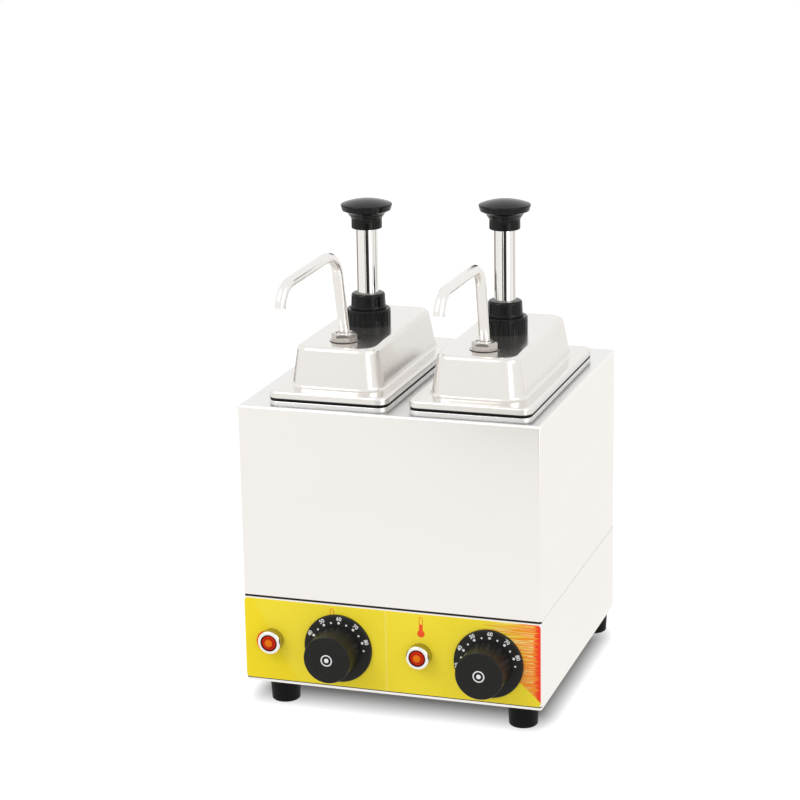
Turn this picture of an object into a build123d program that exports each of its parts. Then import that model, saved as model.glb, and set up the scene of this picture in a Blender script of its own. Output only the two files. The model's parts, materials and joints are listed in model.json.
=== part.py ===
from build123d import *
from math import cos, hypot, radians
import os

# Hot topping warmer: a stainless housing with two hot-water baths side by side, a lift-out
# food pan in each, and on each pan a domed lid that carries a hand pump with a gooseneck
# spout. Millimetres. X is across the front, +Y runs from the front to the back, +Z is up.
# The origin lies on the standing surface, in the middle of the whole object's outline.

# ---- Driving dimensions -------------------------------------------------------------------

# Housing
body_width = 280.0
body_depth = 280.0
body_height = 262.0
base_height = 82.0
seam_gap = 1.5
sheet = 1.0
edge_radius = 2.5
base_flange = 36.0
lip_height = 10.0
lip_overlap = 6.0

# Feet and their bolts
foot_height = 22.0
foot_top_radius = 14.2
foot_bottom_radius = 13.0
front_foot_inset = 26.3
rear_foot_inset = 17.0
feet_offset = 4.8
front_foot_setback = 19.0
rear_foot_setback = 15.0
foot_bore_radius = 5.5
foot_bore_depth = 9.0
foot_bolt_radius = 2.5
foot_bolt_head_radius = 4.6
foot_bolt_head_height = 3.5
foot_nut_height = 4.0
foot_nut_flats = 8.0

# Bottom plate
slot_count = 9
slot_length = 70.0
slot_width = 4.0
slot_pitch = 12.0
plate_screw_radius = 2.0
plate_screw_head_radius = 3.6
plate_screw_head_height = 2.2
plate_screw_length = 8.0

# Wells, pans and lids; every lid, gasket and pan rim has the same outline
left_lid_margin = 23.75
right_lid_margin = 12.75
lid_gap = 19.5
lid_length = 230.0
lid_front_inset = 12.0
lid_corner_radius = 10.0
rim_overlap = 6.0
well_corner_radius = 14.0
bath_depth = 176.0
bath_flange = 8.0
bath_sheet = 1.0
bath_bottom_radius = 6.0
pan_gap = 4.0
pan_draft = 3.0
pan_over_element = 9.0
pan_sheet = 1.0
pan_rim_height = 2.5
pan_bottom_radius = 8.0
gasket_thickness = 2.0
gasket_width = 9.0
gasket_inset = 0.5
lid_sheet = 1.0
flange_height = 7.0
flange_edge_radius = 2.5
dome_rise = 36.9
dome_side_step = 12.5
dome_side_lean = 5.5
dome_foot_front = 17.5
dome_foot_back = 20.5
dome_front_lean = 5.0
dome_back_lean = 9.5
dome_foot_corner = 20.0
dome_top_corner = 16.0
dome_edge_radius = 5.0
dome_foot_fillet = 2.5

# Hand pump, in the lid
pump_inset = 122.5
stroke = 50.0
plunger_radius = 10.0
plunger_wall = 1.5
left_exposed_tube = 60.6
right_exposed_tube = 65.6
running_clearance = 0.05
seat_clearance = 0.05
nut_radius = 20.5
nut_height = 15.0
nut_lip = 3.8
nut_chamfer = 1.2
rib_count = 26
rib_groove_radius = 1.35
collar_top_radius = 15.6
collar_bottom_radius = 16.6
collar_height = 29.5
collar_edge_radius = 2.5
collar_flange = 3.0
neck_radius = 18.0
neck_height = 8.0
barrel_bore = 13.5
barrel_wall = 2.5
barrel_length = 170.0
shoulder_radius = 21.0
shoulder_height = 3.0
hole_clearance = 0.3
piston_height = 16.0
piston_drop = 56.0
piston_socket = 6.0
piston_groove_depth = 0.8
piston_groove_height = 2.5
valve_flange = 4.0
valve_plug = 8.0
valve_port_radius = 4.5
valve_mouth_radius = 9.0
spring_wire_radius = 1.0
spring_radius = 10.5
spring_turns = 10
outlet_height = 16.0
outlet_boss_radius = 8.0
outlet_boss_length = 12.0
outlet_port_radius = 3.5

# Push knob
knob_radius = 24.0
knob_rim_height = 22.3
knob_dome = 4.7
knob_rim_radius = 1.2
knob_under_radius = 22.4
knob_under_height = 16.8
knob_flare_radius = 16.3
knob_flare_height = 12.0
knob_neck_radius = 14.2
knob_neck_height = 6.5
knob_socket = 14.0

# Discharge pipe, spout and spout nut
spout_inset = 54.0
pipe_radius = 5.0
pipe_wall = 1.0
pipe_bend_radius = 16.0
stud_radius = 8.0
stud_height = 4.4
stud_shoulder_radius = 11.0
spout_radius = 4.9
spout_wall = 0.8
spout_seat = 5.0
riser_straight = 9.3
left_riser_height = 84.0
right_riser_height = 78.1
left_riser_lean = 14.3
right_riser_lean = 11.6
left_arm_drop = 9.9
right_arm_drop = 1.8
arm_reach = 121.8
tip_run = 3.8
tip_drop = 18.0
left_arm_shortfall = 3.5
riser_bend_radius = 20.0
top_bend_radius = 24.0
tip_bend_radius = 22.0
ferrule_radius = 7.0
ferrule_height = 1.3
left_spout_angle = -6.7
right_spout_angle = -1.3
spout_nut_flats = 20.4
spout_nut_height = 6.2
spout_nut_chamfer = 1.0
spout_nut_recess_radius = 7.8
spout_nut_recess = 1.4
left_nut_angle = 10.0
right_nut_angle = 3.0
washer_radius = 13.4
washer_thickness = 0.8

# Control panel
label_thickness = 0.4
label_side_margin = 0.4
label_bottom_margin = 3.2
label_top_margin = 2.0
label_corner_radius = 3.0
left_lamp_inset = 26.7
dial_inset = 47.9
dial_height = 40.0
lamp_spacing = 63.9
lamp_height = 41.5
scale_radius = 32.0
scale_thickness = 3.0
scale_chamfer = 0.8
scale_bore_radius = 6.5
knob_gap = 0.5
dial_radius = 22.0
dial_length = 29.5
dial_wall = 2.5
dial_edge_radius = 1.6
dial_hub_radius = 7.0
dent_radius = 14.0
dent_depth = 1.6
dent_x = -5.5
dent_z = -9.5
shaft_radius = 3.0
shaft_flat = 1.0
shaft_into_dial = 20.0
shaft_into_body = 12.0
bushing_radius = 5.0
thermostat_width = 36.0
thermostat_height = 32.0
thermostat_length = 28.0
bracket_width = 44.0
bracket_height = 18.0
bracket_thickness = 1.5
dial_screw_spacing = 28.0
dial_screw_radius = 2.0
dial_screw_head_radius = 3.8
dial_screw_head_height = 2.0
dial_screw_length = 8.0

# Pilot lamps
bezel_radius = 11.0
bezel_length = 10.0
bezel_edge_radius = 2.0
lens_radius = 7.9
lens_depth = 5.0
lens_dome = 1.0
lamp_body_radius = 6.0
lamp_body_length = 26.0
lamp_clip_radius = 9.0
lamp_clip_thickness = 3.0
spade_width = 4.8
spade_thickness = 0.8
spade_length = 9.0

# Heating element, temperature probe
element_radius = 4.0
element_spread = 26.0
element_height = 13.0
element_bend_radius = 24.0
element_front_gap = 30.0
element_tail = 14.0
element_pin_radius = 1.5
element_pin_length = 9.0
element_flange_radius = 6.5
element_flange_thickness = 2.0
element_nut_flats = 15.0
element_nut_height = 4.0
probe_radius = 3.0
probe_length = 80.0
probe_clear = 2.0
capillary_radius = 0.9
capillary_bend = 5.0
capillary_run = 22.0
left_probe_shift = 10.85
right_probe_shift = 20.85
probe_gland_radius = 4.0
probe_gland_height = 4.0

# Cord gland and terminal block
gland_inset = 45.0
gland_height = 32.0
gland_thread_radius = 8.0
gland_bore_radius = 3.75
gland_flats = 22.0
gland_hex_length = 5.0
gland_cap_radius = 9.5
gland_cap_length = 13.0
gland_tail = 9.0
gland_nut_flats = 22.0
gland_nut_height = 4.0
block_length = 54.0
block_width = 20.0
block_height = 17.0
block_ways = 3
block_screw_radius = 3.0
block_screw_depth = 7.0
block_back_gap = 34.0
back_screw_spacing = 110.0
back_screw_count = 3

# Internal wiring
wire_radius = 1.3
wire_bend = 8.0

# ---- Levels and places worked out from them ------------------------------------------------

base_z = foot_height
seam_z = base_z + base_height
deck_z = base_z + body_height
plate_z = base_z + sheet
flange_bottom = deck_z + pan_rim_height + gasket_thickness
flange_top = flange_bottom + flange_height
dome_top = flange_top + dome_rise
lid_underside = dome_top - lid_sheet
collar_top = dome_top + collar_height
knob_bottom = {"left": collar_top + left_exposed_tube, "right": collar_top + right_exposed_tube}
bath_bottom = deck_z - bath_depth
pan_bottom = bath_bottom + element_height + element_radius + pan_over_element

tip_reach = arm_reach + tip_run
tip_spread = spout_radius * tip_drop / hypot(tip_drop, tip_run)
spout_overhang = tip_reach + tip_spread - lid_front_inset - spout_inset
gland_reach = gland_hex_length + gland_cap_length
front_y = (spout_overhang - body_depth - gland_reach) / 2
back_y = front_y + body_depth
middle_y = (front_y + back_y) / 2

lid_width = (body_width - left_lid_margin - right_lid_margin - lid_gap) / 2
dome_foot_width = lid_width - 2 * dome_side_step
dome_top_width = dome_foot_width - 2 * dome_side_lean
lid_y = front_y + lid_front_inset + lid_length / 2
pump_y = front_y + lid_front_inset + pump_inset
spout_y = front_y + lid_front_inset + spout_inset
opening_width = lid_width - 2 * rim_overlap
opening_length = lid_length - 2 * rim_overlap
panel_y = front_y - label_thickness
scale_y = panel_y - scale_thickness
well_x = {
    "left": left_lid_margin + lid_width / 2 - body_width / 2,
    "right": body_width / 2 - right_lid_margin - lid_width / 2,
}
dial_x = body_width / 2 - dial_inset
lamp_x = dial_x - lamp_spacing
control_pitch = lamp_x + body_width / 2 - left_lamp_inset
gland_x = body_width / 2 - gland_inset
dial_centre = {"left": dial_x - control_pitch, "right": dial_x}
probe_x = {
    "left": dial_centre["left"] - left_probe_shift,
    "right": dial_centre["right"] - right_probe_shift,
}
lamp_centre = {"left": lamp_x - control_pitch, "right": lamp_x}
riser_height = {"left": left_riser_height, "right": right_riser_height}
riser_lean = {"left": left_riser_lean, "right": right_riser_lean}
arm_drop = {"left": left_arm_drop, "right": right_arm_drop}
arm_shortfall = {"left": left_arm_shortfall, "right": 0}
spout_angle = {"left": left_spout_angle, "right": right_spout_angle}
nut_angle = {"left": left_nut_angle, "right": right_nut_angle}
sides = ("left", "right")
dial_z = base_z + dial_height
lamp_z = base_z + lamp_height


# ---- Shared shapes -------------------------------------------------------------------------


def block(width, length, height, corner, x, y, z):
    """Upright block on a rounded rectangle: x and y give its middle, z its underside."""
    return Pos(x, y, z) * extrude(RectangleRounded(width, length, corner), height)


def disc(radius, height, x, y, z):
    """Upright cylinder with its underside at z."""
    return Pos(x, y, z) * extrude(Circle(radius), height)


def rod(radius, y_from, y_to, x, z):
    """Cylinder along Y."""
    return Pos(x, y_from, z) * Rot(-90, 0, 0) * extrude(Circle(radius), y_to - y_from)


def nut_blank(flats, height, sides_of_nut=6):
    """Upright prism with its flats this far apart, standing on z = 0."""
    return extrude(RegularPolygon(flats / 2, sides_of_nut, major_radius=False), height)


def turned(points, x, y, z):
    """Body of revolution about an upright axis; points are (radius, height) above z."""
    profile = Plane.XZ * make_face(Polyline(*points, close=True))
    return Pos(x, y, z) * revolve(profile, Axis.Z)


def turned_along_y(points, x, y, z):
    """Body of revolution about an axis along Y; points are (radius, distance behind y)."""
    profile = Plane.XZ * make_face(Polyline(*points, close=True))
    return Pos(x, y, z) * Rot(-90, 0, 0) * revolve(profile, Axis.Z)


def swept(path, radius):
    """Round rod along a path."""
    return sweep(Plane(origin=path @ 0, z_dir=path % 0) * Circle(radius), path)


def tapered_tub(width, length, corner, draft, x, y, z_top, z_bottom, bottom_radius):
    """Solid tub that narrows by the draft on each side towards a rounded bottom."""
    mouth = Pos(x, y, z_top) * RectangleRounded(width, length, corner)
    floor = Pos(x, y, z_bottom) * RectangleRounded(width - 2 * draft, length - 2 * draft, corner - draft)
    tub = loft([floor, mouth], ruled=True)
    return fillet(tub.edges().group_by(Axis.Z)[0], bottom_radius)


# ---- Housing -------------------------------------------------------------------------------


def upper_casing():
    """Bent and welded box, open below, with the two well openings in its top."""
    z_from = seam_z + seam_gap
    height = deck_z - z_from
    shell = block(body_width, body_depth, height, edge_radius, 0, middle_y, z_from)
    shell = fillet(shell.edges().group_by(Axis.Z)[-1], edge_radius)
    inside = edge_radius - sheet
    hollow = block(
        body_width - 2 * sheet, body_depth - 2 * sheet, height - sheet, inside, 0, middle_y, z_from
    )
    shell -= fillet(hollow.edges().group_by(Axis.Z)[-1], inside)
    for side in sides:
        shell -= block(
            opening_width, opening_length, 3 * sheet, well_corner_radius,
            well_x[side], lid_y, deck_z - 2 * sheet,
        )
    for x in back_screw_places():
        shell -= rod(plate_screw_radius + hole_clearance, back_y - 2 * sheet, back_y + 1, x, back_screw_z())
    return shell


def back_screw_places():
    """Where the casing's back screws stand across the back."""
    first = -back_screw_spacing * (back_screw_count - 1) / 2
    return [first + i * back_screw_spacing for i in range(back_screw_count)]


def back_screw_z():
    """Height of the casing's back screws, in the lip above the seam."""
    return seam_z + seam_gap + (lip_height - seam_gap) / 2


def base_casing():
    """Band under the seam, with a joggled lip inside the upper casing and a bottom flange."""
    width = body_width - 2 * sheet
    depth = body_depth - 2 * sheet
    inside = edge_radius - sheet
    shell = block(body_width, body_depth, base_height, edge_radius, 0, middle_y, base_z)
    shell -= block(width, depth, base_height, inside, 0, middle_y, base_z + sheet)
    shell -= block(
        body_width - 2 * base_flange, body_depth - 2 * base_flange, 3 * sheet, edge_radius,
        0, middle_y, base_z - sheet,
    )
    lip_z = seam_z - lip_overlap
    lip = block(width, depth, lip_overlap + lip_height, inside, 0, middle_y, lip_z)
    lip -= block(
        width - 2 * sheet, depth - 2 * sheet, lip_overlap + lip_height, inside / 2, 0, middle_y, lip_z
    )
    shell += lip
    wall = 3 * sheet
    for side in sides:
        x = dial_centre[side]
        shell -= rod(bushing_radius + hole_clearance, front_y - sheet, front_y + wall, x, dial_z)
        for screw_x in dial_screw_places(side):
            shell -= rod(
                dial_screw_radius + hole_clearance, front_y - sheet, front_y + wall, screw_x, dial_z
            )
        shell -= rod(
            lamp_body_radius + hole_clearance, front_y - sheet, front_y + wall, lamp_centre[side], lamp_z
        )
    shell -= rod(gland_thread_radius + hole_clearance, back_y - wall, back_y + sheet, gland_x, gland_z())
    for x in back_screw_places():
        shell -= rod(plate_screw_radius, back_y - 2 * wall, back_y, x, back_screw_z())
    for x, y in plate_screw_places():
        shell -= disc(plate_screw_radius + hole_clearance, wall, x, y, base_z - sheet)
    for x, y in foot_places():
        shell -= disc(foot_bolt_radius + hole_clearance, wall, x, y, base_z - sheet)
    return shell


def bottom_plate():
    """Plate on the base's flange, with air slots under the controls."""
    width = body_width - 2 * sheet - 1
    depth = body_depth - 2 * sheet - 1
    plate = block(width, depth, sheet, edge_radius, 0, middle_y, plate_z)
    first = -slot_pitch * (slot_count - 1) / 2
    slots = [
        Pos(first + i * slot_pitch, middle_y, plate_z - sheet)
        * extrude(Rot(0, 0, 90) * SlotOverall(slot_length, slot_width), 3 * sheet)
        for i in range(slot_count)
    ]
    plate -= slots
    for x, y in plate_screw_places():
        plate -= disc(plate_screw_radius, 3 * sheet, x, y, plate_z - sheet)
    for x, y in foot_places():
        plate -= disc(foot_bolt_radius + hole_clearance, 3 * sheet, x, y, plate_z - sheet)
    return plate


def foot_places():
    """The feet's middles; the rear pair stands nearer to the sides."""
    front_across = body_width / 2 - front_foot_inset
    rear_across = body_width / 2 - rear_foot_inset
    front = [(feet_offset + sign * front_across, front_y + front_foot_setback) for sign in (-1, 1)]
    return front + [(sign * rear_across, back_y - rear_foot_setback) for sign in (-1, 1)]


def foot():
    """Black foot on z = 0, with a bore from below for its bolt."""
    body = turned(
        [
            (0, 0),
            (foot_bottom_radius - 1, 0),
            (foot_bottom_radius, 1),
            (foot_top_radius, foot_height),
            (0, foot_height),
        ],
        0, 0, 0,
    )
    body -= disc(foot_bore_radius, foot_bore_depth, 0, 0, 0)
    return body - disc(foot_bolt_radius + hole_clearance, foot_height, 0, 0, 0)


def foot_bolt():
    """Bolt up through a foot, the base flange and the bottom plate, with its nut."""
    nut_z = foot_height + 2 * sheet
    bolt = disc(foot_bolt_head_radius, foot_bolt_head_height, 0, 0, foot_bore_depth - foot_bolt_head_height)
    bolt += disc(foot_bolt_radius, nut_z + foot_nut_height + 1 - foot_bore_depth, 0, 0, foot_bore_depth)
    nut = Pos(0, 0, nut_z) * nut_blank(foot_nut_flats, foot_nut_height)
    nut -= disc(foot_bolt_radius + seat_clearance, foot_nut_height, 0, 0, nut_z)
    return [bolt, nut]


def plate_screw_places():
    """Screws in the middle of each side of the base's flange."""
    inset = base_flange / 2
    return [
        (0, front_y + inset),
        (0, back_y - inset),
        (-body_width / 2 + inset, middle_y),
        (body_width / 2 - inset, middle_y),
    ]


def small_screw():
    """Pan-head screw with its head below z = 0 and its shank upwards."""
    head = disc(plate_screw_head_radius, plate_screw_head_height, 0, 0, -plate_screw_head_height)
    head = fillet(head.edges().group_by(Axis.Z)[0], 0.8)
    head -= Pos(0, 0, -plate_screw_head_height) * Box(4.4, 0.9, 1.4)
    head -= Pos(0, 0, -plate_screw_head_height) * Box(0.9, 4.4, 1.4)
    return head + disc(plate_screw_radius - seat_clearance, plate_screw_length, 0, 0, 0)


def casing_screws():
    """Screws into the bottom plate from below and into the base's lip from behind."""
    screws = [Pos(x, y, base_z) * small_screw() for x, y in plate_screw_places()]
    turn = Rot(90, 0, 0)
    return screws + [Pos(x, back_y, back_screw_z()) * turn * small_screw() for x in back_screw_places()]


# ---- Wells, pans and lids ------------------------------------------------------------------


def water_bath(side):
    """Deep tank welded under the deck's opening."""
    x = well_x[side]
    top = deck_z - sheet
    outside = block(
        opening_width + 2 * bath_sheet, opening_length + 2 * bath_sheet, top - bath_bottom + bath_sheet,
        well_corner_radius + bath_sheet, x, lid_y, bath_bottom - bath_sheet,
    )
    outside = fillet(outside.edges().group_by(Axis.Z)[0], bath_bottom_radius + bath_sheet)
    flange = block(
        opening_width + 2 * bath_flange, opening_length + 2 * bath_flange, bath_sheet,
        well_corner_radius + bath_flange, x, lid_y, top - bath_sheet,
    )
    inside = block(
        opening_width, opening_length, bath_depth, well_corner_radius, x, lid_y, bath_bottom
    )
    inside = fillet(inside.edges().group_by(Axis.Z)[0], bath_bottom_radius)
    bath = outside + flange - inside
    for leg in (-1, 1):
        bath -= rod(
            element_radius + hole_clearance, bath_back() - sheet, bath_back() + 3 * sheet,
            x + leg * element_spread, element_z(),
        )
    probe_hole = disc(
        capillary_radius + hole_clearance, 4 * bath_sheet,
        probe_x[side], probe_y(), bath_bottom - 2 * bath_sheet,
    )
    return bath - probe_hole


def bath_back():
    """Inner face of a bath's back wall."""
    return lid_y + opening_length / 2


def element_z():
    """Height of the heating element's middle line."""
    return bath_bottom + element_height


def food_pan(side):
    """Lift-out pan that hangs in the bath by its rolled rim."""
    x = well_x[side]
    mouth_width = opening_width - 2 * pan_gap
    mouth_length = opening_length - 2 * pan_gap
    corner = well_corner_radius - 1
    outside = tapered_tub(
        mouth_width, mouth_length, corner, pan_draft, x, lid_y, deck_z, pan_bottom, pan_bottom_radius
    )
    rim = block(lid_width, lid_length, pan_rim_height, lid_corner_radius, x, lid_y, deck_z)
    rim = fillet(rim.edges().group_by(Axis.Z)[-1], pan_sheet)
    recess = pan_rim_height - pan_sheet
    under = block(
        lid_width - 2 * pan_sheet, lid_length - 2 * pan_sheet, recess, lid_corner_radius - pan_sheet,
        x, lid_y, deck_z,
    )
    under -= block(mouth_width, mouth_length, recess, corner, x, lid_y, deck_z)
    inner_width = mouth_width - 2 * pan_sheet
    inner_length = mouth_length - 2 * pan_sheet
    inside = tapered_tub(
        inner_width, inner_length, corner - pan_sheet, pan_draft, x, lid_y, deck_z,
        pan_bottom + pan_sheet, pan_bottom_radius - pan_sheet,
    )
    inside += block(inner_width, inner_length, pan_rim_height, corner - pan_sheet, x, lid_y, deck_z)
    return outside + (rim - under) - inside


def lid_gasket(side):
    """Flat silicone ring between the pan's rim and the lid's flange."""
    x = well_x[side]
    z = deck_z + pan_rim_height
    outer = 2 * gasket_inset
    inner = outer + 2 * gasket_width
    ring = block(
        lid_width - outer, lid_length - outer, gasket_thickness, lid_corner_radius - gasket_inset, x, lid_y, z
    )
    corner = lid_corner_radius / 2
    return ring - block(lid_width - inner, lid_length - inner, gasket_thickness, corner, x, lid_y, z)


def lid_form(side, inset):
    """The lid's outer form, or its hollow when inset by the sheet."""
    x = well_x[side]
    bottom = flange_bottom - (sheet if inset else 0)
    flange = block(
        lid_width - 2 * inset, lid_length - 2 * inset, flange_top - inset - bottom,
        lid_corner_radius - inset, x, lid_y, bottom,
    )
    flange = fillet(flange.edges().group_by(Axis.Z)[-1], flange_edge_radius - inset)
    foot_front = lid_y - lid_length / 2 + dome_foot_front + inset
    foot_back = lid_y + lid_length / 2 - dome_foot_back - inset
    top_front = foot_front + dome_front_lean
    top_back = foot_back - dome_back_lean
    foot_outline = Pos(x, (foot_front + foot_back) / 2, flange_top - inset) * RectangleRounded(
        dome_foot_width - 2 * inset, foot_back - foot_front, dome_foot_corner - inset
    )
    top_outline = Pos(x, (top_front + top_back) / 2, dome_top - inset) * RectangleRounded(
        dome_top_width - 2 * inset, top_back - top_front, dome_top_corner - inset
    )
    dome = loft([foot_outline, top_outline], ruled=True)
    dome = fillet(dome.edges().group_by(Axis.Z)[-1], dome_edge_radius - inset)
    form = flange + dome
    level = flange_top - inset
    seam = form.edges().filter_by_position(Axis.Z, level - 0.01, level + 0.01)
    half_foot = dome_foot_width / 2 - inset + 0.1
    seam = seam.filter_by(lambda edge: abs(edge.center().X - x) < half_foot)
    seam = seam.filter_by(lambda edge: foot_front - 0.1 < edge.center().Y < foot_back + 0.1)
    return fillet(seam, dome_foot_fillet + inset)


def lid(side):
    """Pressed lid: a rolled flange round a dome, with the pump's and the spout's holes."""
    shell = lid_form(side, 0) - lid_form(side, lid_sheet)
    x = well_x[side]
    shell -= disc(neck_radius + hole_clearance, 4 * lid_sheet, x, pump_y, dome_top - 2 * lid_sheet)
    return shell - disc(stud_radius + hole_clearance, 4 * lid_sheet, x, spout_y, dome_top - 2 * lid_sheet)


# ---- Hand pump -----------------------------------------------------------------------------


def barrel_bottom():
    """Lower end of the pump barrel."""
    return dome_top + neck_height - barrel_length


def outlet_z():
    """Height of the barrel's side outlet."""
    return barrel_bottom() + valve_plug + outlet_height / 2


def pump_barrel(side):
    """Cylinder hung in the lid: threaded neck, shoulder, and an outlet boss near the foot."""
    x = well_x[side]
    wall_radius = barrel_bore + barrel_wall
    foot = barrel_bottom() - dome_top
    barrel = turned(
        [
            (barrel_bore, foot),
            (wall_radius, foot),
            (wall_radius, -lid_sheet - shoulder_height),
            (shoulder_radius, -lid_sheet - shoulder_height),
            (shoulder_radius, -lid_sheet),
            (neck_radius, -lid_sheet),
            (neck_radius, neck_height),
            (barrel_bore, neck_height),
        ],
        x, pump_y, dome_top,
    )
    boss_front = pump_y - wall_radius - outlet_boss_length
    boss = rod(outlet_boss_radius, boss_front, pump_y - wall_radius + 1, x, outlet_z())
    barrel += boss - disc(wall_radius - 0.5, 2 * outlet_height, x, pump_y, outlet_z() - outlet_height)
    socket = rod(
        pipe_radius + seat_clearance, boss_front - 1, boss_front + pipe_into_boss(), x, outlet_z()
    )
    return barrel - socket - rod(outlet_port_radius, boss_front, pump_y, x, outlet_z())


def pipe_into_boss():
    """How far the discharge pipe goes into the barrel's outlet boss."""
    return outlet_boss_length - 2


def clamp_nut(side):
    """Ribbed nut that clamps the barrel's neck and the guide collar to the lid."""
    inner = neck_radius + seat_clearance
    lip_bore = collar_bottom_radius + 0.3
    nut = turned(
        [
            (inner, 0),
            (nut_radius, 0),
            (nut_radius, nut_height - nut_chamfer),
            (nut_radius - nut_chamfer, nut_height),
            (lip_bore, nut_height),
            (lip_bore, nut_height - nut_lip),
            (inner, nut_height - nut_lip),
        ],
        0, 0, 0,
    )
    groove_radius = nut_radius + rib_groove_radius / 2
    grooves = [
        loc * extrude(Circle(rib_groove_radius), nut_height - 2 * nut_chamfer)
        for loc in PolarLocations(groove_radius, rib_count)
    ]
    nut -= grooves
    return Pos(well_x[side], pump_y, dome_top) * nut


def guide_collar(side):
    """Black guide for the plunger tube, held down by the clamp nut's lip."""
    bore = plunger_radius + running_clearance
    flange_z = neck_height
    top_z = flange_z + collar_flange
    collar = turned(
        [
            (bore, flange_z),
            (neck_radius, flange_z),
            (neck_radius, top_z),
            (collar_bottom_radius, top_z),
            (collar_bottom_radius, nut_height + 1.5),
            (collar_bottom_radius - 0.5, nut_height + 3.0),
            (collar_top_radius, collar_height),
            (bore, collar_height),
        ],
        0, 0, 0,
    )
    rim = collar.edges().group_by(Axis.Z)[-1].sort_by(SortBy.LENGTH)[-1]
    return Pos(well_x[side], pump_y, dome_top) * fillet(rim, collar_edge_radius)


def push_knob(side):
    """Mushroom knob with a socket for the plunger tube."""
    top = knob_rim_height + knob_dome
    flare_middle = (knob_neck_height + knob_flare_height) / 2
    edges = [
        Line((0, 0), (knob_neck_radius, 0)),
        Line((knob_neck_radius, 0), (knob_neck_radius, knob_neck_height)),
        ThreePointArc(
            (knob_neck_radius, knob_neck_height),
            (knob_neck_radius + 0.6, flare_middle + 0.8),
            (knob_flare_radius, knob_flare_height),
        ),
        ThreePointArc(
            (knob_flare_radius, knob_flare_height),
            (knob_flare_radius + 2.2, knob_flare_height + 2.9),
            (knob_under_radius, knob_under_height),
        ),
        Line((knob_under_radius, knob_under_height), (knob_radius, knob_rim_height)),
        TangentArc((0, top), (knob_radius, knob_rim_height), tangent=(1, 0)),
        Line((0, top), (0, 0)),
    ]
    knob = revolve(Plane.XZ * make_face(edges), Axis.Z)
    knob -= disc(plunger_radius + seat_clearance, knob_socket, 0, 0, 0)
    rim = knob.edges().filter_by_position(Axis.Z, knob_rim_height - 0.01, knob_rim_height + 0.01)
    knob = fillet(rim, knob_rim_radius)
    foot = knob.edges().filter_by_position(Axis.Z, -0.01, 0.01).sort_by(SortBy.LENGTH)[-1]
    knob = chamfer(foot, 0.5)
    return Pos(well_x[side], pump_y, knob_bottom[side]) * knob


def piston_top():
    """Upper face of the piston with the plunger up."""
    return dome_top - piston_drop


def plunger_tube(side):
    """Stainless tube from the push knob down to the piston."""
    x = well_x[side]
    z_from = piston_top() - piston_socket
    length = knob_bottom[side] + knob_socket - z_from
    tube = disc(plunger_radius, length, x, pump_y, z_from)
    return tube - disc(plunger_radius - plunger_wall, length, x, pump_y, z_from)


def piston(side):
    """Plastic piston with two seal grooves, on the foot of the plunger tube."""
    radius = barrel_bore - running_clearance
    groove = radius - piston_groove_depth
    socket = plunger_radius + seat_clearance
    lower = piston_height - 2 * piston_socket
    points = [
        (0, 0),
        (radius, 0),
        (radius, piston_groove_height),
        (groove, piston_groove_height),
        (groove, 2 * piston_groove_height),
        (radius, 2 * piston_groove_height),
        (radius, piston_height - 2 * piston_groove_height),
        (groove, piston_height - 2 * piston_groove_height),
        (groove, piston_height - piston_groove_height),
        (radius, piston_height - piston_groove_height),
        (radius, piston_height),
        (socket, piston_height),
        (socket, piston_height - piston_socket),
        (0, lower + piston_socket),
    ]
    return turned(points, well_x[side], pump_y, piston_top() - piston_height)


def inlet_valve(side):
    """Plug in the barrel's foot with the inlet port, which also seats the spring."""
    plug = barrel_bore - seat_clearance
    points = [
        (valve_mouth_radius, -valve_flange),
        (barrel_bore + barrel_wall, -valve_flange),
        (barrel_bore + barrel_wall, 0),
        (plug, 0),
        (plug, valve_plug),
        (valve_port_radius, valve_plug),
        (valve_port_radius, 0),
    ]
    return turned(points, well_x[side], pump_y, barrel_bottom())


def return_spring(side):
    """Compression spring between the inlet valve and the piston."""
    z_from = barrel_bottom() + valve_plug
    length = piston_top() - piston_height - z_from
    rise = length - 2 * spring_wire_radius - 2 * seat_clearance
    coil = Helix(rise / spring_turns, rise, spring_radius)
    wire = sweep(Plane(origin=coil @ 0, z_dir=coil % 0) * Circle(spring_wire_radius), coil, is_frenet=True)
    return Pos(well_x[side], pump_y, z_from + spring_wire_radius + seat_clearance) * wire


def discharge_pipe(side):
    """Pipe from the barrel's outlet up to the threaded stud that holds the spout."""
    start = pump_y - barrel_bore - barrel_wall - outlet_boss_length + pipe_into_boss()
    shoulder_z = lid_underside - shoulder_height
    route = FilletPolyline(
        (0, start, outlet_z()), (0, spout_y, outlet_z()), (0, spout_y, shoulder_z), radius=pipe_bend_radius
    )
    pipe = swept(route, pipe_radius)
    pipe += disc(stud_shoulder_radius, shoulder_height, 0, spout_y, shoulder_z)
    pipe += disc(stud_radius, lid_sheet + stud_height, 0, spout_y, lid_underside)
    pipe -= swept(route, pipe_radius - pipe_wall)
    pipe -= disc(pipe_radius - pipe_wall, shoulder_height, 0, spout_y, shoulder_z)
    seat_radius = spout_radius + running_clearance
    pipe -= disc(seat_radius, spout_seat + stud_height, 0, spout_y, dome_top - spout_seat)
    return Pos(well_x[side], 0, 0) * pipe


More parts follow.
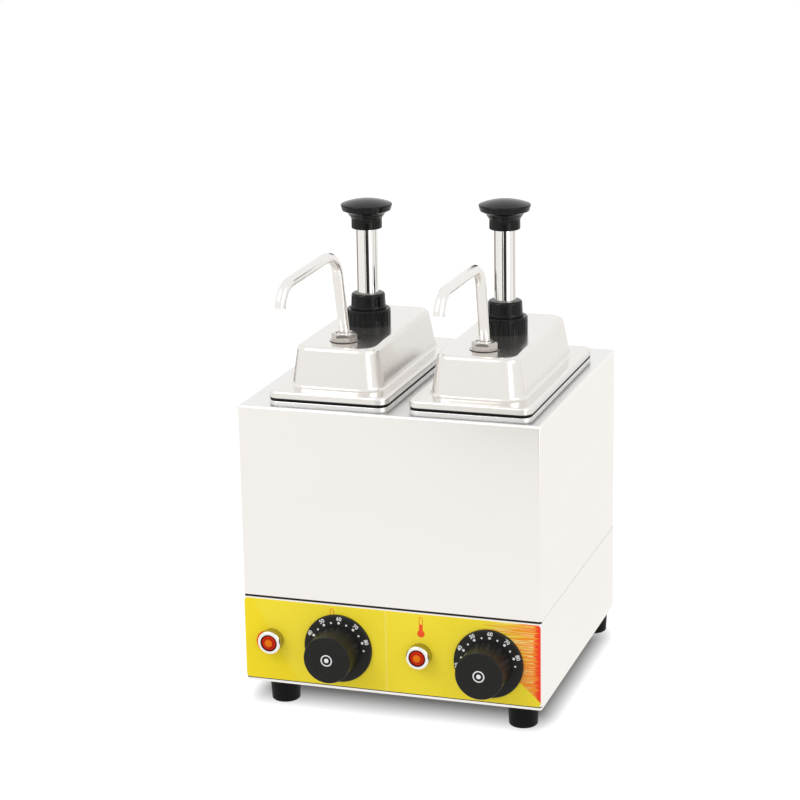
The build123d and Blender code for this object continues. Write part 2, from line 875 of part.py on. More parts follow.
def spout_nut(side):
    """Hexagon nut on the stud, over a flat washer, with a recess for the spout's ferrule."""
    washer = disc(washer_radius, washer_thickness, 0, 0, 0)
    washer -= disc(stud_radius + seat_clearance, washer_thickness, 0, 0, 0)
    nut = nut_blank(spout_nut_flats, spout_nut_height)
    cone_radius = spout_nut_flats / 2 / cos(radians(30))
    nut &= turned(
        [
            (0, 0),
            (cone_radius, 0),
            (cone_radius, spout_nut_height - spout_nut_chamfer),
            (cone_radius - 1.7 * spout_nut_chamfer, spout_nut_height),
            (0, spout_nut_height),
        ],
        0, 0, 0,
    )
    nut -= disc(stud_radius + seat_clearance, stud_height - washer_thickness, 0, 0, 0)
    nut -= disc(spout_radius + running_clearance, spout_nut_height, 0, 0, 0)
    nut -= disc(spout_nut_recess_radius, spout_nut_recess, 0, 0, spout_nut_height - spout_nut_recess)
    place = Pos(well_x[side], spout_y, dome_top)
    return [place * washer, place * Pos(0, 0, washer_thickness) * Rot(0, 0, nut_angle[side]) * nut]


def spout_tube(side):
    """Gooseneck: up out of the nut, forward over the front edge, and down to the outlet."""
    foot_z = dome_top - spout_seat + running_clearance
    arm_z = dome_top + riser_height[side]
    corner_z = arm_z - arm_drop[side]
    route = FilletPolyline(
        (0, 0, foot_z),
        (0, 0, dome_top + riser_straight),
        (0, -riser_lean[side], arm_z),
        (0, arm_shortfall[side] - arm_reach, corner_z),
        (0, arm_shortfall[side] - tip_reach, corner_z - tip_drop),
        radius=[riser_bend_radius, top_bend_radius, tip_bend_radius],
    )
    ferrule_z = dome_top + washer_thickness + spout_nut_height - spout_nut_recess + running_clearance
    tube = swept(route, spout_radius) + ferrule(ferrule_z) - swept(route, spout_radius - spout_wall)
    return Pos(well_x[side], spout_y, 0) * Rot(0, 0, spout_angle[side]) * tube


def ferrule(z):
    """Coned ring pressed on a spout's riser, in the recess of its nut."""
    return turned(
        [
            (0, 0),
            (ferrule_radius, 0),
            (ferrule_radius, ferrule_height / 3),
            (spout_radius + ferrule_height / 2, ferrule_height),
            (0, ferrule_height),
        ],
        0, 0, z,
    )


# ---- Control panel -------------------------------------------------------------------------


def dial_screw_places(side):
    """The two screws that hold a thermostat and its scale ring to the panel."""
    return [dial_centre[side] + sign * dial_screw_spacing / 2 for sign in (-1, 1)]


def control_label():
    """Printed film on the front of the base casing."""
    width = body_width - 2 * label_side_margin
    height = base_height - label_bottom_margin - label_top_margin
    z = base_z + label_bottom_margin + height / 2
    film = Pos(0, front_y, z) * Rot(90, 0, 0) * extrude(
        RectangleRounded(width, height, label_corner_radius), label_thickness
    )
    for side in sides:
        film -= rod(bushing_radius + hole_clearance, panel_y - 1, front_y + 1, dial_centre[side], dial_z)
        film -= rod(lamp_body_radius + hole_clearance, panel_y - 1, front_y + 1, lamp_centre[side], lamp_z)
        for x in dial_screw_places(side):
            film -= rod(dial_screw_radius + hole_clearance, panel_y - 1, front_y + 1, x, dial_z)
    return film


def dial_scale(side):
    """Fixed black scale ring round a dial."""
    x = dial_centre[side]
    ring = turned_along_y(
        [
            (scale_bore_radius, 0),
            (scale_radius - scale_chamfer, 0),
            (scale_radius, scale_chamfer),
            (scale_radius, scale_thickness),
            (scale_bore_radius, scale_thickness),
        ],
        x, scale_y, dial_z,
    )
    for screw_x in dial_screw_places(side):
        ring -= rod(dial_screw_radius + hole_clearance, scale_y - 1, panel_y + 1, screw_x, dial_z)
        ring -= screw_cone(screw_x, seat_clearance)
    return ring


def screw_cone(x, extra):
    """Countersunk head of a dial screw, its flat face flush with the scale ring."""
    head = dial_screw_head_radius + extra
    return turned_along_y(
        [(0, 0), (head, 0), (dial_screw_radius + extra, dial_screw_head_height), (0, dial_screw_head_height)],
        x, scale_y, dial_z,
    )


def thermostat_screws():
    """Countersunk screws through the scale rings and the panel into the brackets."""
    shank = dial_screw_radius - seat_clearance
    return [
        screw_cone(x, 0)
        + rod(shank, scale_y + dial_screw_head_height, scale_y + dial_screw_length, x, dial_z)
        for side in sides
        for x in dial_screw_places(side)
    ]


def thermostat(side):
    """Capillary thermostat behind the panel: bracket, body and a bushing through the panel."""
    x = dial_centre[side]
    back = front_y + sheet
    bracket_y = back + bracket_thickness / 2
    bracket = Pos(x, bracket_y, dial_z) * Box(bracket_width, bracket_thickness, bracket_height)
    body_y = back + bracket_thickness + thermostat_length / 2
    body = Pos(x, body_y, dial_z) * Box(thermostat_width, thermostat_length, thermostat_height)
    body = fillet(body.edges().filter_by(Axis.Y), 3)
    switch = bracket + body + rod(bushing_radius, panel_y - 1, back + 1, x, dial_z)
    for screw_x in dial_screw_places(side):
        switch -= rod(dial_screw_radius, back - 1, scale_y + dial_screw_length + 1, screw_x, dial_z)
    terminal_y = back + bracket_thickness + thermostat_length
    for offset in (-8, 8):
        switch += spade(x + offset, terminal_y, dial_z + 8)
    bore = shaft_radius + running_clearance
    return switch - rod(bore, panel_y - 2, back + shaft_into_body, x, dial_z)


def spade(x, y, z):
    """Flat spade terminal that stands back from y."""
    return Pos(x, y + spade_length / 2, z) * Box(spade_width, spade_length, spade_thickness)


def shaft_front():
    """Front end of a thermostat shaft, inside the dial."""
    return scale_y - knob_gap - shaft_into_dial


def d_shaft(side, extra, y_from, y_to):
    """Round bar along Y with a flat on its top."""
    x = dial_centre[side]
    bar = rod(shaft_radius + extra, y_from, y_to, x, dial_z)
    size = 2 * shaft_radius + 2
    flat_z = dial_z + shaft_radius - shaft_flat + extra
    return bar - Pos(x, (y_from + y_to) / 2, flat_z + size / 2) * Box(size, y_to - y_from, size)


def thermostat_shaft(side):
    """Turning shaft: round in the thermostat, with a flat inside the dial."""
    flat_end = scale_y - knob_gap / 2
    inner_end = front_y + sheet + shaft_into_body - running_clearance
    bar = d_shaft(side, 0, shaft_front(), flat_end)
    return bar + rod(shaft_radius, flat_end, inner_end, dial_centre[side], dial_z)


def dial_knob(side):
    """Hollow turning cap with a hub on the shaft's flat and a finger dent in its face."""
    x = dial_centre[side]
    back = scale_y - knob_gap
    face = back - dial_length
    cap = rod(dial_radius, face, back, x, dial_z)
    cap = fillet(cap.edges().group_by(Axis.Y)[0], dial_edge_radius)
    inner = dial_radius - dial_wall
    hollow = rod(inner, face + dial_wall, back, x, dial_z)
    hollow -= rod(dial_hub_radius, face + dial_wall, back, x, dial_z)
    cap -= hollow
    cap -= d_shaft(side, seat_clearance, shaft_front() - 0.5, back)
    dent = Pos(x + dent_x, face - dent_radius + dent_depth, dial_z + dent_z) * Sphere(dent_radius)
    return cap - dent


def lamp_bezel(side):
    """Chrome ring of a pilot lamp."""
    seat = bezel_length - lens_depth
    ring = turned_along_y(
        [
            (lens_radius + seat_clearance, 0),
            (bezel_radius, 0),
            (bezel_radius, bezel_length),
            (lamp_body_radius + seat_clearance, bezel_length),
            (lamp_body_radius + seat_clearance, bezel_length - seat),
            (lens_radius + seat_clearance, bezel_length - seat),
        ],
        lamp_centre[side], panel_y - bezel_length, lamp_z,
    )
    rim = ring.edges().group_by(Axis.Y)[0].sort_by(SortBy.LENGTH)[-1]
    return fillet(rim, bezel_edge_radius)


def lamp_lens(side):
    """Domed red lens in the bezel."""
    edges = [
        Line((0, lens_depth), (lens_radius, lens_depth)),
        Line((lens_radius, lens_depth), (lens_radius, lens_dome)),
        TangentArc((0, -lens_dome), (lens_radius, lens_dome), tangent=(1, 0)),
        Line((0, -lens_dome), (0, lens_depth)),
    ]
    lens = revolve(Plane.XZ * make_face(edges), Axis.Z)
    return Pos(lamp_centre[side], panel_y - bezel_length, lamp_z) * Rot(-90, 0, 0) * lens


def lamp_body(side):
    """Lamp housing through the panel, with its clip and two terminals."""
    x = lamp_centre[side]
    front = panel_y - bezel_length + lens_depth
    back = front_y + lamp_body_length
    body = rod(lamp_body_radius, front, back, x, lamp_z)
    body += rod(lamp_clip_radius, front_y + sheet, front_y + sheet + lamp_clip_thickness, x, lamp_z)
    for offset in (-3, 3):
        body += spade(x, back, lamp_z + offset)
    return body


# ---- Heating, sensing and wiring -----------------------------------------------------------


def heating_element(side):
    """U-shaped tubular element in the bath, its tails through the back wall."""
    x = well_x[side]
    tail = bath_back() + bath_sheet + element_tail
    front = lid_y - opening_length / 2 + element_front_gap
    z = element_z()
    route = FilletPolyline(
        (x - element_spread, tail, z),
        (x - element_spread, front, z),
        (x + element_spread, front, z),
        (x + element_spread, tail, z),
        radius=element_bend_radius,
    )
    element = swept(route, element_radius)
    for leg in (-1, 1):
        leg_x = x + leg * element_spread
        element += rod(
            element_flange_radius, bath_back() - element_flange_thickness, bath_back(), leg_x, z
        )
        element += rod(element_pin_radius, tail, tail + element_pin_length, leg_x, z)
    return element


def lock_nuts():
    """Nuts on the elements' tails behind the baths, and the cord gland's lock nut."""
    nuts = [gland_nut()]
    for side in sides:
        for leg in (-1, 1):
            nut = nut_blank(element_nut_flats, element_nut_height)
            nut -= disc(element_radius + seat_clearance, element_nut_height, 0, 0, 0)
            x = well_x[side] + leg * element_spread
            nuts.append(Pos(x, bath_back() + bath_sheet, element_z()) * Rot(-90, 0, 0) * nut)
    return nuts


def probe_y():
    """Where a capillary comes up through the bath's bottom."""
    return front_y + sheet + bracket_thickness + thermostat_length + capillary_run


def temperature_probe(side):
    """Capillary from the thermostat up into the bath, its bulb, and its gland."""
    x_from = dial_centre[side]
    x = probe_x[side]
    y_from = front_y + sheet + bracket_thickness + thermostat_length
    bulb_z = bath_bottom + probe_radius + probe_clear
    bulb_y = probe_y() + 2 * capillary_bend
    level = bath_bottom - 4 * capillary_bend
    route = FilletPolyline(
        (x_from, y_from, dial_z - 8),
        (x_from, probe_y(), dial_z - 8),
        (x_from, probe_y(), level),
        (x, probe_y(), level),
        (x, probe_y(), bulb_z),
        (x, bulb_y, bulb_z),
        radius=capillary_bend,
    )
    probe = swept(route, capillary_radius) + rod(probe_radius, bulb_y, bulb_y + probe_length, x, bulb_z)
    z = bath_bottom - bath_sheet - probe_gland_height
    gland = disc(probe_gland_radius, probe_gland_height, x, probe_y(), z)
    gland -= disc(capillary_radius + seat_clearance, probe_gland_height, x, probe_y(), z)
    return [probe, gland]


def gland_z():
    """Height of the cord gland."""
    return base_z + gland_height


def cord_gland():
    """Gland body and dome nut outside the back, threaded tail inside."""
    place = Pos(gland_x, back_y, gland_z()) * Rot(-90, 0, 0)
    body = nut_blank(gland_flats, gland_hex_length)
    body += turned(
        [
            (0, gland_hex_length),
            (gland_cap_radius, gland_hex_length),
            (gland_cap_radius, gland_hex_length + gland_cap_length * 0.55),
            (gland_bore_radius + 1.5, gland_hex_length + gland_cap_length),
            (0, gland_hex_length + gland_cap_length),
        ],
        0, 0, 0,
    )
    body += disc(gland_thread_radius, gland_tail + 1, 0, 0, -gland_tail)
    body -= disc(gland_bore_radius, gland_tail + gland_reach, 0, 0, -gland_tail)
    return place * body


def gland_nut():
    """The cord gland's lock nut, inside the back wall."""
    nut = nut_blank(gland_nut_flats, gland_nut_height)
    nut -= disc(gland_thread_radius + seat_clearance, gland_nut_height, 0, 0, 0)
    return Pos(gland_x, back_y - sheet - gland_nut_height, gland_z()) * Rot(-90, 0, 0) * nut


def block_y():
    """Middle of the terminal block."""
    return back_y - block_back_gap


def terminal_block():
    """Three-way terminal block on the bottom plate."""
    z = plate_z + sheet
    base = Pos(0, block_y(), z + block_height / 2) * Box(block_length, block_width, block_height)
    way = block_length / block_ways
    for i in range(block_ways):
        x = (i - (block_ways - 1) / 2) * way
        hole_z = z + block_height - block_screw_depth
        base -= disc(block_screw_radius, block_screw_depth, x, block_y(), hole_z)
        if i:
            base -= Pos(x - way / 2, block_y(), z + block_height) * Box(1.6, block_width, 5)
    return base


def wiring():
    """Insulated leads from the terminal block to the dials, lamps and elements."""
    z_block = plate_z + sheet + block_height / 2
    y_block = block_y() - block_width / 2
    way = block_length / block_ways
    leads = []
    for i, side in enumerate(sides):
        away = 1 if i else -1
        floor_z = z_block - 4
        start_x = away * way
        y_switch = front_y + sheet + bracket_thickness + thermostat_length + spade_length
        switch_x = dial_centre[side] + 8
        leads.append(
            FilletPolyline(
                (start_x, y_block, z_block),
                (start_x, y_block - 30, z_block),
                (switch_x, y_block - 60, floor_z + 20),
                (switch_x, y_switch + 30, dial_z + 8),
                (switch_x, y_switch, dial_z + 8),
                radius=wire_bend,
            )
        )
        y_lamp = front_y + lamp_body_length + spade_length
        lamp_lead_x = lamp_centre[side]
        leads.append(
            FilletPolyline(
                (start_x - 5, y_block, z_block - 5),
                (start_x - 5, y_block - 24, z_block - 5),
                (lamp_lead_x, y_block - 80, z_block - 5),
                (lamp_lead_x, y_lamp + 40, lamp_z - 3),
                (lamp_lead_x, y_lamp, lamp_z - 3),
                radius=wire_bend,
            )
        )
        pin_y = bath_back() + bath_sheet + element_tail + element_pin_length
        pin_x = well_x[side] + away * element_spread
        leads.append(
            FilletPolyline(
                (start_x, block_y() + block_width / 2, z_block),
                (start_x, back_y - 14, z_block),
                (pin_x, back_y - 14, z_block + 30),
                (pin_x, back_y - 10, element_z()),
                (pin_x, pin_y, element_z()),
                radius=4,
            )
        )
    return [swept(lead, wire_radius) for lead in leads]


# ---- Writing the nodes ---------------------------------------------------------------------


def solids_of(shape):
    """The separate solids of one node, as one compound or a single solid."""
    pieces = shape if isinstance(shape, list) else [shape]
    solids = [solid for piece in pieces for solid in piece.solids()]
    return solids[0] if len(solids) == 1 else Compound(children=solids)


def write(name, shape):
    """One STEP file for one node."""
    export_step(solids_of(shape), f"parts/{name}.step")


os.makedirs("parts", exist_ok=True)

whole = {
    "upper_casing": upper_casing,
    "base_casing": base_casing,
    "bottom_plate": bottom_plate,
    "casing_screws": casing_screws,
    "control_label": control_label,
    "thermostat_screws": thermostat_screws,
    "lock_nuts": lock_nuts,
    "cord_gland": cord_gland,
    "terminal_block": terminal_block,
    "wiring": wiring,
}
for name, make in whole.items():
    write(name, make())

write("feet", [Pos(x, y, 0) * foot() for x, y in foot_places()])
write("foot_bolts", [Pos(x, y, 0) * piece for x, y in foot_places() for piece in foot_bolt()])

paired = {
    "water_bath": water_bath,
    "heating_element": heating_element,
    "temperature_probe": temperature_probe,
    "thermostat": thermostat,
    "thermostat_shaft": thermostat_shaft,
    "dial_scale": dial_scale,
    "dial_knob": dial_knob,
    "lamp_bezel": lamp_bezel,
    "lamp_lens": lamp_lens,
    "lamp_body": lamp_body,
    "food_pan": food_pan,
    "lid": lid,
    "lid_gasket": lid_gasket,
    "pump_barrel": pump_barrel,
    "clamp_nut": clamp_nut,
    "guide_collar": guide_collar,
    "push_knob": push_knob,
    "plunger_tube": plunger_tube,
    "piston": piston,
    "return_spring": return_spring,
    "inlet_valve": inlet_valve,
    "discharge_pipe": discharge_pipe,
    "spout_nut": spout_nut,
    "spout_tube": spout_tube,
}
for name, make in paired.items():
    for side in sides:
        write(f"{name}_{side}", make(side))
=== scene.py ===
"""Looks of the two-well topping warmer: camera, surroundings, finishes and printed marks."""

import json
import math

import bmesh
import bpy
from mathutils import Matrix, Vector


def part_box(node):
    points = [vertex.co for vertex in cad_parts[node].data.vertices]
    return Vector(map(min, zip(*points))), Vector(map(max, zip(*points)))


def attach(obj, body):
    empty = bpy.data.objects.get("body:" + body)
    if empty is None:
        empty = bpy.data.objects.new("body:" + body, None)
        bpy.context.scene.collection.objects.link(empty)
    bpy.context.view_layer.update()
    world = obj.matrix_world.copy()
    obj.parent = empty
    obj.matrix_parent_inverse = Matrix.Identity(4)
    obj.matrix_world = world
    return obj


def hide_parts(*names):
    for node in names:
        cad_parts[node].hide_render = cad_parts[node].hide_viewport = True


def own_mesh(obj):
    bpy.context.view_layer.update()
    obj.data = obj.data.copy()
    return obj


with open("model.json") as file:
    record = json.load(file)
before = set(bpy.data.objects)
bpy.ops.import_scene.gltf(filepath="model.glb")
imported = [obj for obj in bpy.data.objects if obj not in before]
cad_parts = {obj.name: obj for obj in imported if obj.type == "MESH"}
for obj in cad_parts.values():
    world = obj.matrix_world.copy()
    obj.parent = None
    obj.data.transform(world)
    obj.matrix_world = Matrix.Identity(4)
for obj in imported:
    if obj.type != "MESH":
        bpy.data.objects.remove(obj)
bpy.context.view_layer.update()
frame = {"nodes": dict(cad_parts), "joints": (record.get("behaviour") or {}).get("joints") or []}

SIDES = ("left", "right")
MM = 0.001


def middle(node):
    """The middle of a node's box at rest."""
    low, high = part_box(node)
    return [(start + end) / 2 for start, end in zip(low, high)]


def both_sides(*stems):
    """Node names for the left and the right of each stem."""
    return [f"{stem}_{side}" for stem in stems for side in SIDES]


# Where the finishes line up with the solids, in millimetres.
FRONT_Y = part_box("base_casing")[0][1] / MM
SEAM_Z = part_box("upper_casing")[0][2] / MM
LABEL_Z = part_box("control_label")[0][2] / MM
LID_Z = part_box("lid_gasket_left")[1][2] / MM
NUT_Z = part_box("spout_nut_left")[0][2] / MM


# ---- Camera --------------------------------------------------------------------------------

CAMERA_AZIMUTH = math.radians(18.28)
CAMERA_ELEVATION = math.radians(15.40)
CAMERA_ROLL = math.radians(-1.02)
CAMERA_DISTANCE = 2.0933
CAMERA_AIM = Vector((0.0133, FRONT_Y * MM, 0.2991))
CAMERA_LENS = 108.05
SENSOR_WIDTH = 36
FARTHEST_SEEN = 30


def make_camera():
    """Camera at the front right, a little above the lids."""
    flat = math.cos(CAMERA_ELEVATION)
    back = Vector(
        (math.sin(CAMERA_AZIMUTH) * flat, -math.cos(CAMERA_AZIMUTH) * flat, math.sin(CAMERA_ELEVATION))
    )
    level_right = Vector((math.cos(CAMERA_AZIMUTH), math.sin(CAMERA_AZIMUTH), 0))
    level_up = back.cross(level_right)
    right = level_right * math.cos(CAMERA_ROLL) + level_up * math.sin(CAMERA_ROLL)
    up = level_up * math.cos(CAMERA_ROLL) - level_right * math.sin(CAMERA_ROLL)
    place = Matrix((right, up, back)).transposed().to_4x4()
    place.translation = CAMERA_AIM + back * CAMERA_DISTANCE
    data = bpy.data.cameras.new("camera")
    data.lens = CAMERA_LENS
    data.sensor_width = SENSOR_WIDTH
    data.clip_end = FARTHEST_SEEN
    camera = bpy.data.objects.new("camera", data)
    camera.matrix_world = place
    bpy.context.scene.collection.objects.link(camera)
    bpy.context.scene.camera = camera


# ---- Shader maths --------------------------------------------------------------------------


class Wire:
    """A socket of a shader tree; arithmetic on it adds Math nodes."""

    def __init__(self, paint, socket):
        self.paint = paint
        self.socket = socket

    def join(self, operation, first, second=None):
        values = {0: first} if second is None else {0: first, 1: second}
        return self.paint.node("ShaderNodeMath", {"operation": operation}, values).out(0)

    def __add__(self, other):
        return self.join("ADD", self, other)

    def __sub__(self, other):
        return self.join("SUBTRACT", self, other)

    def __rsub__(self, other):
        return self.join("SUBTRACT", other, self)

    def __mul__(self, other):
        return self.join("MULTIPLY", self, other)

    def __truediv__(self, other):
        return self.join("DIVIDE", self, other)

    def __pow__(self, other):
        return self.join("POWER", self, other)

    def __abs__(self):
        return self.join("ABSOLUTE", self)

    def __lt__(self, other):
        return self.join("LESS_THAN", self, other)

    __radd__ = __add__
    __rmul__ = __mul__

    def root(self):
        return self.join("SQRT", self)

    def sine(self):
        return self.join("SINE", self)

    def low(self, other):
        """The smaller of the two."""
        return self.join("MINIMUM", self, other)

    def high(self, other):
        """The larger of the two."""
        return self.join("MAXIMUM", self, other)

    def ramp(self, start, end):
        """0 at start, 1 at end, smooth between."""
        sockets = {"Value": self, "From Min": start, "From Max": end, "To Min": 0.0, "To Max": 1.0}
        settings = {"interpolation_type": "SMOOTHSTEP"}
        return self.paint.node("ShaderNodeMapRange", settings, sockets).out(0)

    def between(self, start, end, blur):
        """1 from start to end, fading to 0 over the blur on each side."""
        return self.ramp(start - blur, start) * (1.0 - self.ramp(end, end + blur))


class Node:
    """A shader node whose outputs come as wires."""

    def __init__(self, paint, made):
        self.paint = paint
        self.made = made

    def out(self, name):
        return Wire(self.paint, self.made.outputs[name])


class Paint:
    """A material or world under construction."""

    def __init__(self, name, owner=None):
        self.owner = owner or bpy.data.materials.new(name)
        self.owner.use_nodes = True
        self.tree = self.owner.node_tree

    def node(self, kind, settings=None, sockets=None):
        """Adds a node, sets its settings, then gives its sockets values or links."""
        made = self.tree.nodes.new(kind)
        for name, value in (settings or {}).items():
            if name == "stops":
                self.set_stops(made.color_ramp, value)
            else:
                setattr(made, name, value)
        for name, value in (sockets or {}).items():
            self.feed(made.inputs[name], value)
        return Node(self, made)

    def set_stops(self, ramp, stops):
        while len(ramp.elements) < len(stops):
            ramp.elements.new(1.0)
        for element, (place, color) in zip(ramp.elements, stops):
            element.position = place
            element.color = (*color, 1.0)

    def feed(self, socket, value):
        if isinstance(value, Wire):
            self.tree.links.new(value.socket, socket)
        elif socket.type == "RGBA" and len(value) == 3:
            socket.default_value = (*value, 1.0)
        else:
            socket.default_value = value

    def split(self, vector):
        """The x, y and z of a vector."""
        parts = self.node("ShaderNodeSeparateXYZ", None, {0: vector})
        return [parts.out(axis) for axis in range(3)]

    def spot(self):
        """The point in the part's frame, in metres."""
        return self.node("ShaderNodeTexCoord").out("Object")

    def place(self):
        """The point's x, y and z in the part's frame, in millimetres."""
        return [part * 1000.0 for part in self.split(self.spot())]

    def facing(self):
        """The x, y and z of the way that the surface faces."""
        return self.split(self.node("ShaderNodeNewGeometry").out("Normal"))

    def stretched(self, x_scale, y_scale, z_scale):
        """The point, scaled along each axis, for a texture's Vector socket."""
        sockets = {0: self.spot(), 1: (x_scale, y_scale, z_scale)}
        return self.node("ShaderNodeVectorMath", {"operation": "MULTIPLY"}, sockets).out(0)

    def noise(self, scale, detail, vector=None, roughness=0.5):
        """Cloudy noise round 0.5, of a scale per metre."""
        sockets = {"Scale": scale, "Detail": detail, "Roughness": roughness}
        sockets["Vector"] = vector or self.spot()
        return self.node("ShaderNodeTexNoise", None, sockets).out("Fac")

    def mix(self, share, low, high):
        """Colour low where share is 0 and colour high where it is 1."""
        mixer = self.node("ShaderNodeMix", {"data_type": "RGBA"}, {0: share, 6: low, 7: high})
        return mixer.out(2)

    def tint(self, color, share):
        """The colour multiplied by a grey of this share."""
        grey = self.node("ShaderNodeCombineXYZ", None, {0: share, 1: share, 2: share}).out(0)
        return self.node("ShaderNodeVectorMath", {"operation": "MULTIPLY"}, {0: color, 1: grey}).out(0)

    def color_ramp(self, position, stops):
        """The colour at a position among stops, each a place and a colour."""
        return self.node("ShaderNodeValToRGB", {"stops": stops}, {"Fac": position}).out("Color")

    def bump(self, height, distance, strength):
        sockets = {"Height": height, "Distance": distance, "Strength": strength}
        return self.node("ShaderNodeBump", None, sockets).out("Normal")

    def matt(self, color):
        """A matt surface of a colour."""
        return self.node("ShaderNodeBsdfDiffuse", None, {"Color": color}).out(0)

    def glow(self, color):
        """Plain light of a colour."""
        return self.node("ShaderNodeEmission", None, {"Color": color, "Strength": 1.0}).out(0)

    def choose(self, share, first, second):
        """The first shader where share is 0 and the second where it is 1."""
        return self.node("ShaderNodeMixShader", None, {0: share, 1: first, 2: second}).out(0)

    def surface(self, **sockets):
        """Sets the surface shader's sockets; a name is the socket's own, with _ for a space."""
        shader = self.tree.nodes["Principled BSDF"]
        for name, value in sockets.items():
            self.feed(shader.inputs[name.replace("_", " ")], value)
        return self.owner


# ---- Metals --------------------------------------------------------------------------------

# Black for painted shade: the band at the foot of lids and nuts, the front of the casing seam and the
# line under the label.
PAINTED_SHADE_BLACK = (0.010, 0.008, 0.008)
GRAIN_ACROSS = 900.0
GRAIN_ALONG = 14.0
GRAIN_DEPTH = 0.00002
# The painted shade band round one height: how far below and above it, and its blur, in millimetres.
SHADE_LINE_BELOW = 1.0
SHADE_LINE_ABOVE = 0.7
SHADE_LINE_BLUR = 0.05


def steel(name, color, roughness, grain, grain_axis, shade_line_z=None, metal=1.0, top_metal=None):
    """Polished or brushed metal with its grain along one axis, and a black band of painted shade round
    one height.

    A lower metal share softens what it mirrors, and faces that look up may have their own.
    """
    paint = Paint(name)
    scale = [GRAIN_ACROSS] * 3
    scale["xyz".index(grain_axis)] = GRAIN_ALONG
    lines = paint.noise(1.0, 2.0, paint.stretched(*scale))
    cloud = paint.noise(11.0, 4.0)
    color = paint.tint(color, 1.0 + (cloud - 0.5) * 0.04 + (lines - 0.5) * (grain * 0.25))
    roughness = roughness + (cloud - 0.5) * 0.10 + (lines - 0.5) * grain
    metallic = metal
    if top_metal is not None:
        looks_up = paint.facing()[2].ramp(0.80, 0.97)
        metallic = metal + looks_up * (top_metal - metal)
    # Painted shade: a black band round the given height stands in for the shadow at a foot.
    if shade_line_z is not None:
        _, _, z = paint.place()
        dark = z.between(shade_line_z - SHADE_LINE_BELOW, shade_line_z + SHADE_LINE_ABOVE, SHADE_LINE_BLUR)
        color = paint.mix(dark, color, PAINTED_SHADE_BLACK)
        metallic = (1.0 - dark) * metallic
        roughness = roughness + dark * 0.3
    return paint.surface(
        Base_Color=color,
        Metallic=metallic,
        Roughness=roughness,
        Normal=paint.bump(lines, GRAIN_DEPTH, min(1.0, grain * 4)),
    )


HOUSING_COLOR = (0.945, 0.920, 0.895)
# Darker tint of faces that look up, as on the deck: painted shade.
DECK_PAINTED_SHADE = (0.84, 0.835, 0.825)
# Pale matt tint for the lip in the side seams: painted light in the gap.
SIDE_LIP_PAINTED_LIGHT = (0.96, 0.95, 0.94)
LIP_HEIGHT = 2.1
# The painted shadow line under the label: how far it reaches below the label, in millimetres.
SHADOW_LINE_HEIGHT = 1.0
EDGE_BLUR = 0.1
FRONT_DEPTH = 4.0


def casing_sheet(name):
    """Bright sheet of both casings; faces that look up, as the deck, are rougher and tinted darker as
    painted shade: its paint, colour, roughness and grain.
    """
    paint = Paint(name)
    lines = paint.noise(1.0, 2.0, paint.stretched(10.0, 10.0, GRAIN_ACROSS))
    cloud = paint.noise(6.0, 4.0)
    deck = paint.facing()[2].ramp(0.75, 0.95)
    # Painted shade: faces that look up take the darker deck tint.
    color = paint.mix(deck, HOUSING_COLOR, DECK_PAINTED_SHADE)
    color = paint.tint(color, 1.0 + (cloud - 0.5) * 0.03 + (lines - 0.5) * 0.02)
    roughness = 0.20 + deck * 0.08 + (cloud - 0.5) * 0.08
    return paint, color, roughness, paint.bump(lines, GRAIN_DEPTH, 0.15)


def upper_casing_steel(name):
    """The upper casing's sheet."""
    paint, color, roughness, grain = casing_sheet(name)
    return paint.surface(Base_Color=color, Metallic=1.0, Roughness=roughness, Normal=grain)


def base_casing_steel(name):
    """The base casing's sheet; the lip above the seam is painted pale on the sides as painted light and
    black in front as painted shade, and a painted shadow line runs under the label.
    """
    paint, color, roughness, grain = casing_sheet(name)
    _, y, z = paint.place()
    front = y < FRONT_Y + FRONT_DEPTH
    lip_z = SEAM_Z - LIP_HEIGHT
    lip = z.ramp(lip_z, lip_z + EDGE_BLUR)
    shadow_line_z = LABEL_Z - SHADOW_LINE_HEIGHT
    # Painted shadow: a dark line just under the label, on the front only.
    line = z.ramp(shadow_line_z - EDGE_BLUR, shadow_line_z + EDGE_BLUR) * (z < LABEL_Z) * front
    # The lip is painted pale on the sides as painted light and black in front as painted shade.
    color = paint.mix(lip, color, SIDE_LIP_PAINTED_LIGHT)
    color = paint.mix((lip * front).high(line), color, PAINTED_SHADE_BLACK)
    return paint.surface(
        Base_Color=color,
        Metallic=1.0 - lip.high(line),
        Roughness=roughness + lip * 0.4,
        Normal=grain,
    )


BEZEL_FACE = (0.90, 0.885, 0.865)
# Dark brown tint of the bezel's turned side: a painted reflection.
BEZEL_SIDE_PAINTED_REFLECTION = (0.46, 0.42, 0.36)


def bezel_chrome(name):
    """Bright ring in front, with a rougher turned side tinted dark brown as a painted reflection."""
    paint = Paint(name)
    cloud = paint.noise(120.0, 3.0)
    front = abs(paint.facing()[1]).ramp(0.20, 0.60)
    return paint.surface(
        Base_Color=paint.mix(front, BEZEL_SIDE_PAINTED_REFLECTION, BEZEL_FACE),
        Metallic=1.0,
        Roughness=0.16 - front * 0.10 + (cloud - 0.5) * 0.05,
        Normal=paint.bump(cloud, 0.00001, 0.1),
    )


HEAT_TINTS = [(0.30, (0.16, 0.15, 0.17)), (0.50, (0.30, 0.26, 0.22)), (0.70, (0.22, 0.23, 0.28))]


def heated_steel(name):
    """Element sheath, blued and straw-tinted in patches."""
    paint = Paint(name)
    patches = paint.noise(28.0, 4.0)
    color = paint.color_ramp(patches, HEAT_TINTS)
    return paint.surface(Base_Color=color, Metallic=1.0, Roughness=0.34 + patches * 0.1)


# ---- Plastics and rubber -------------------------------------------------------------------


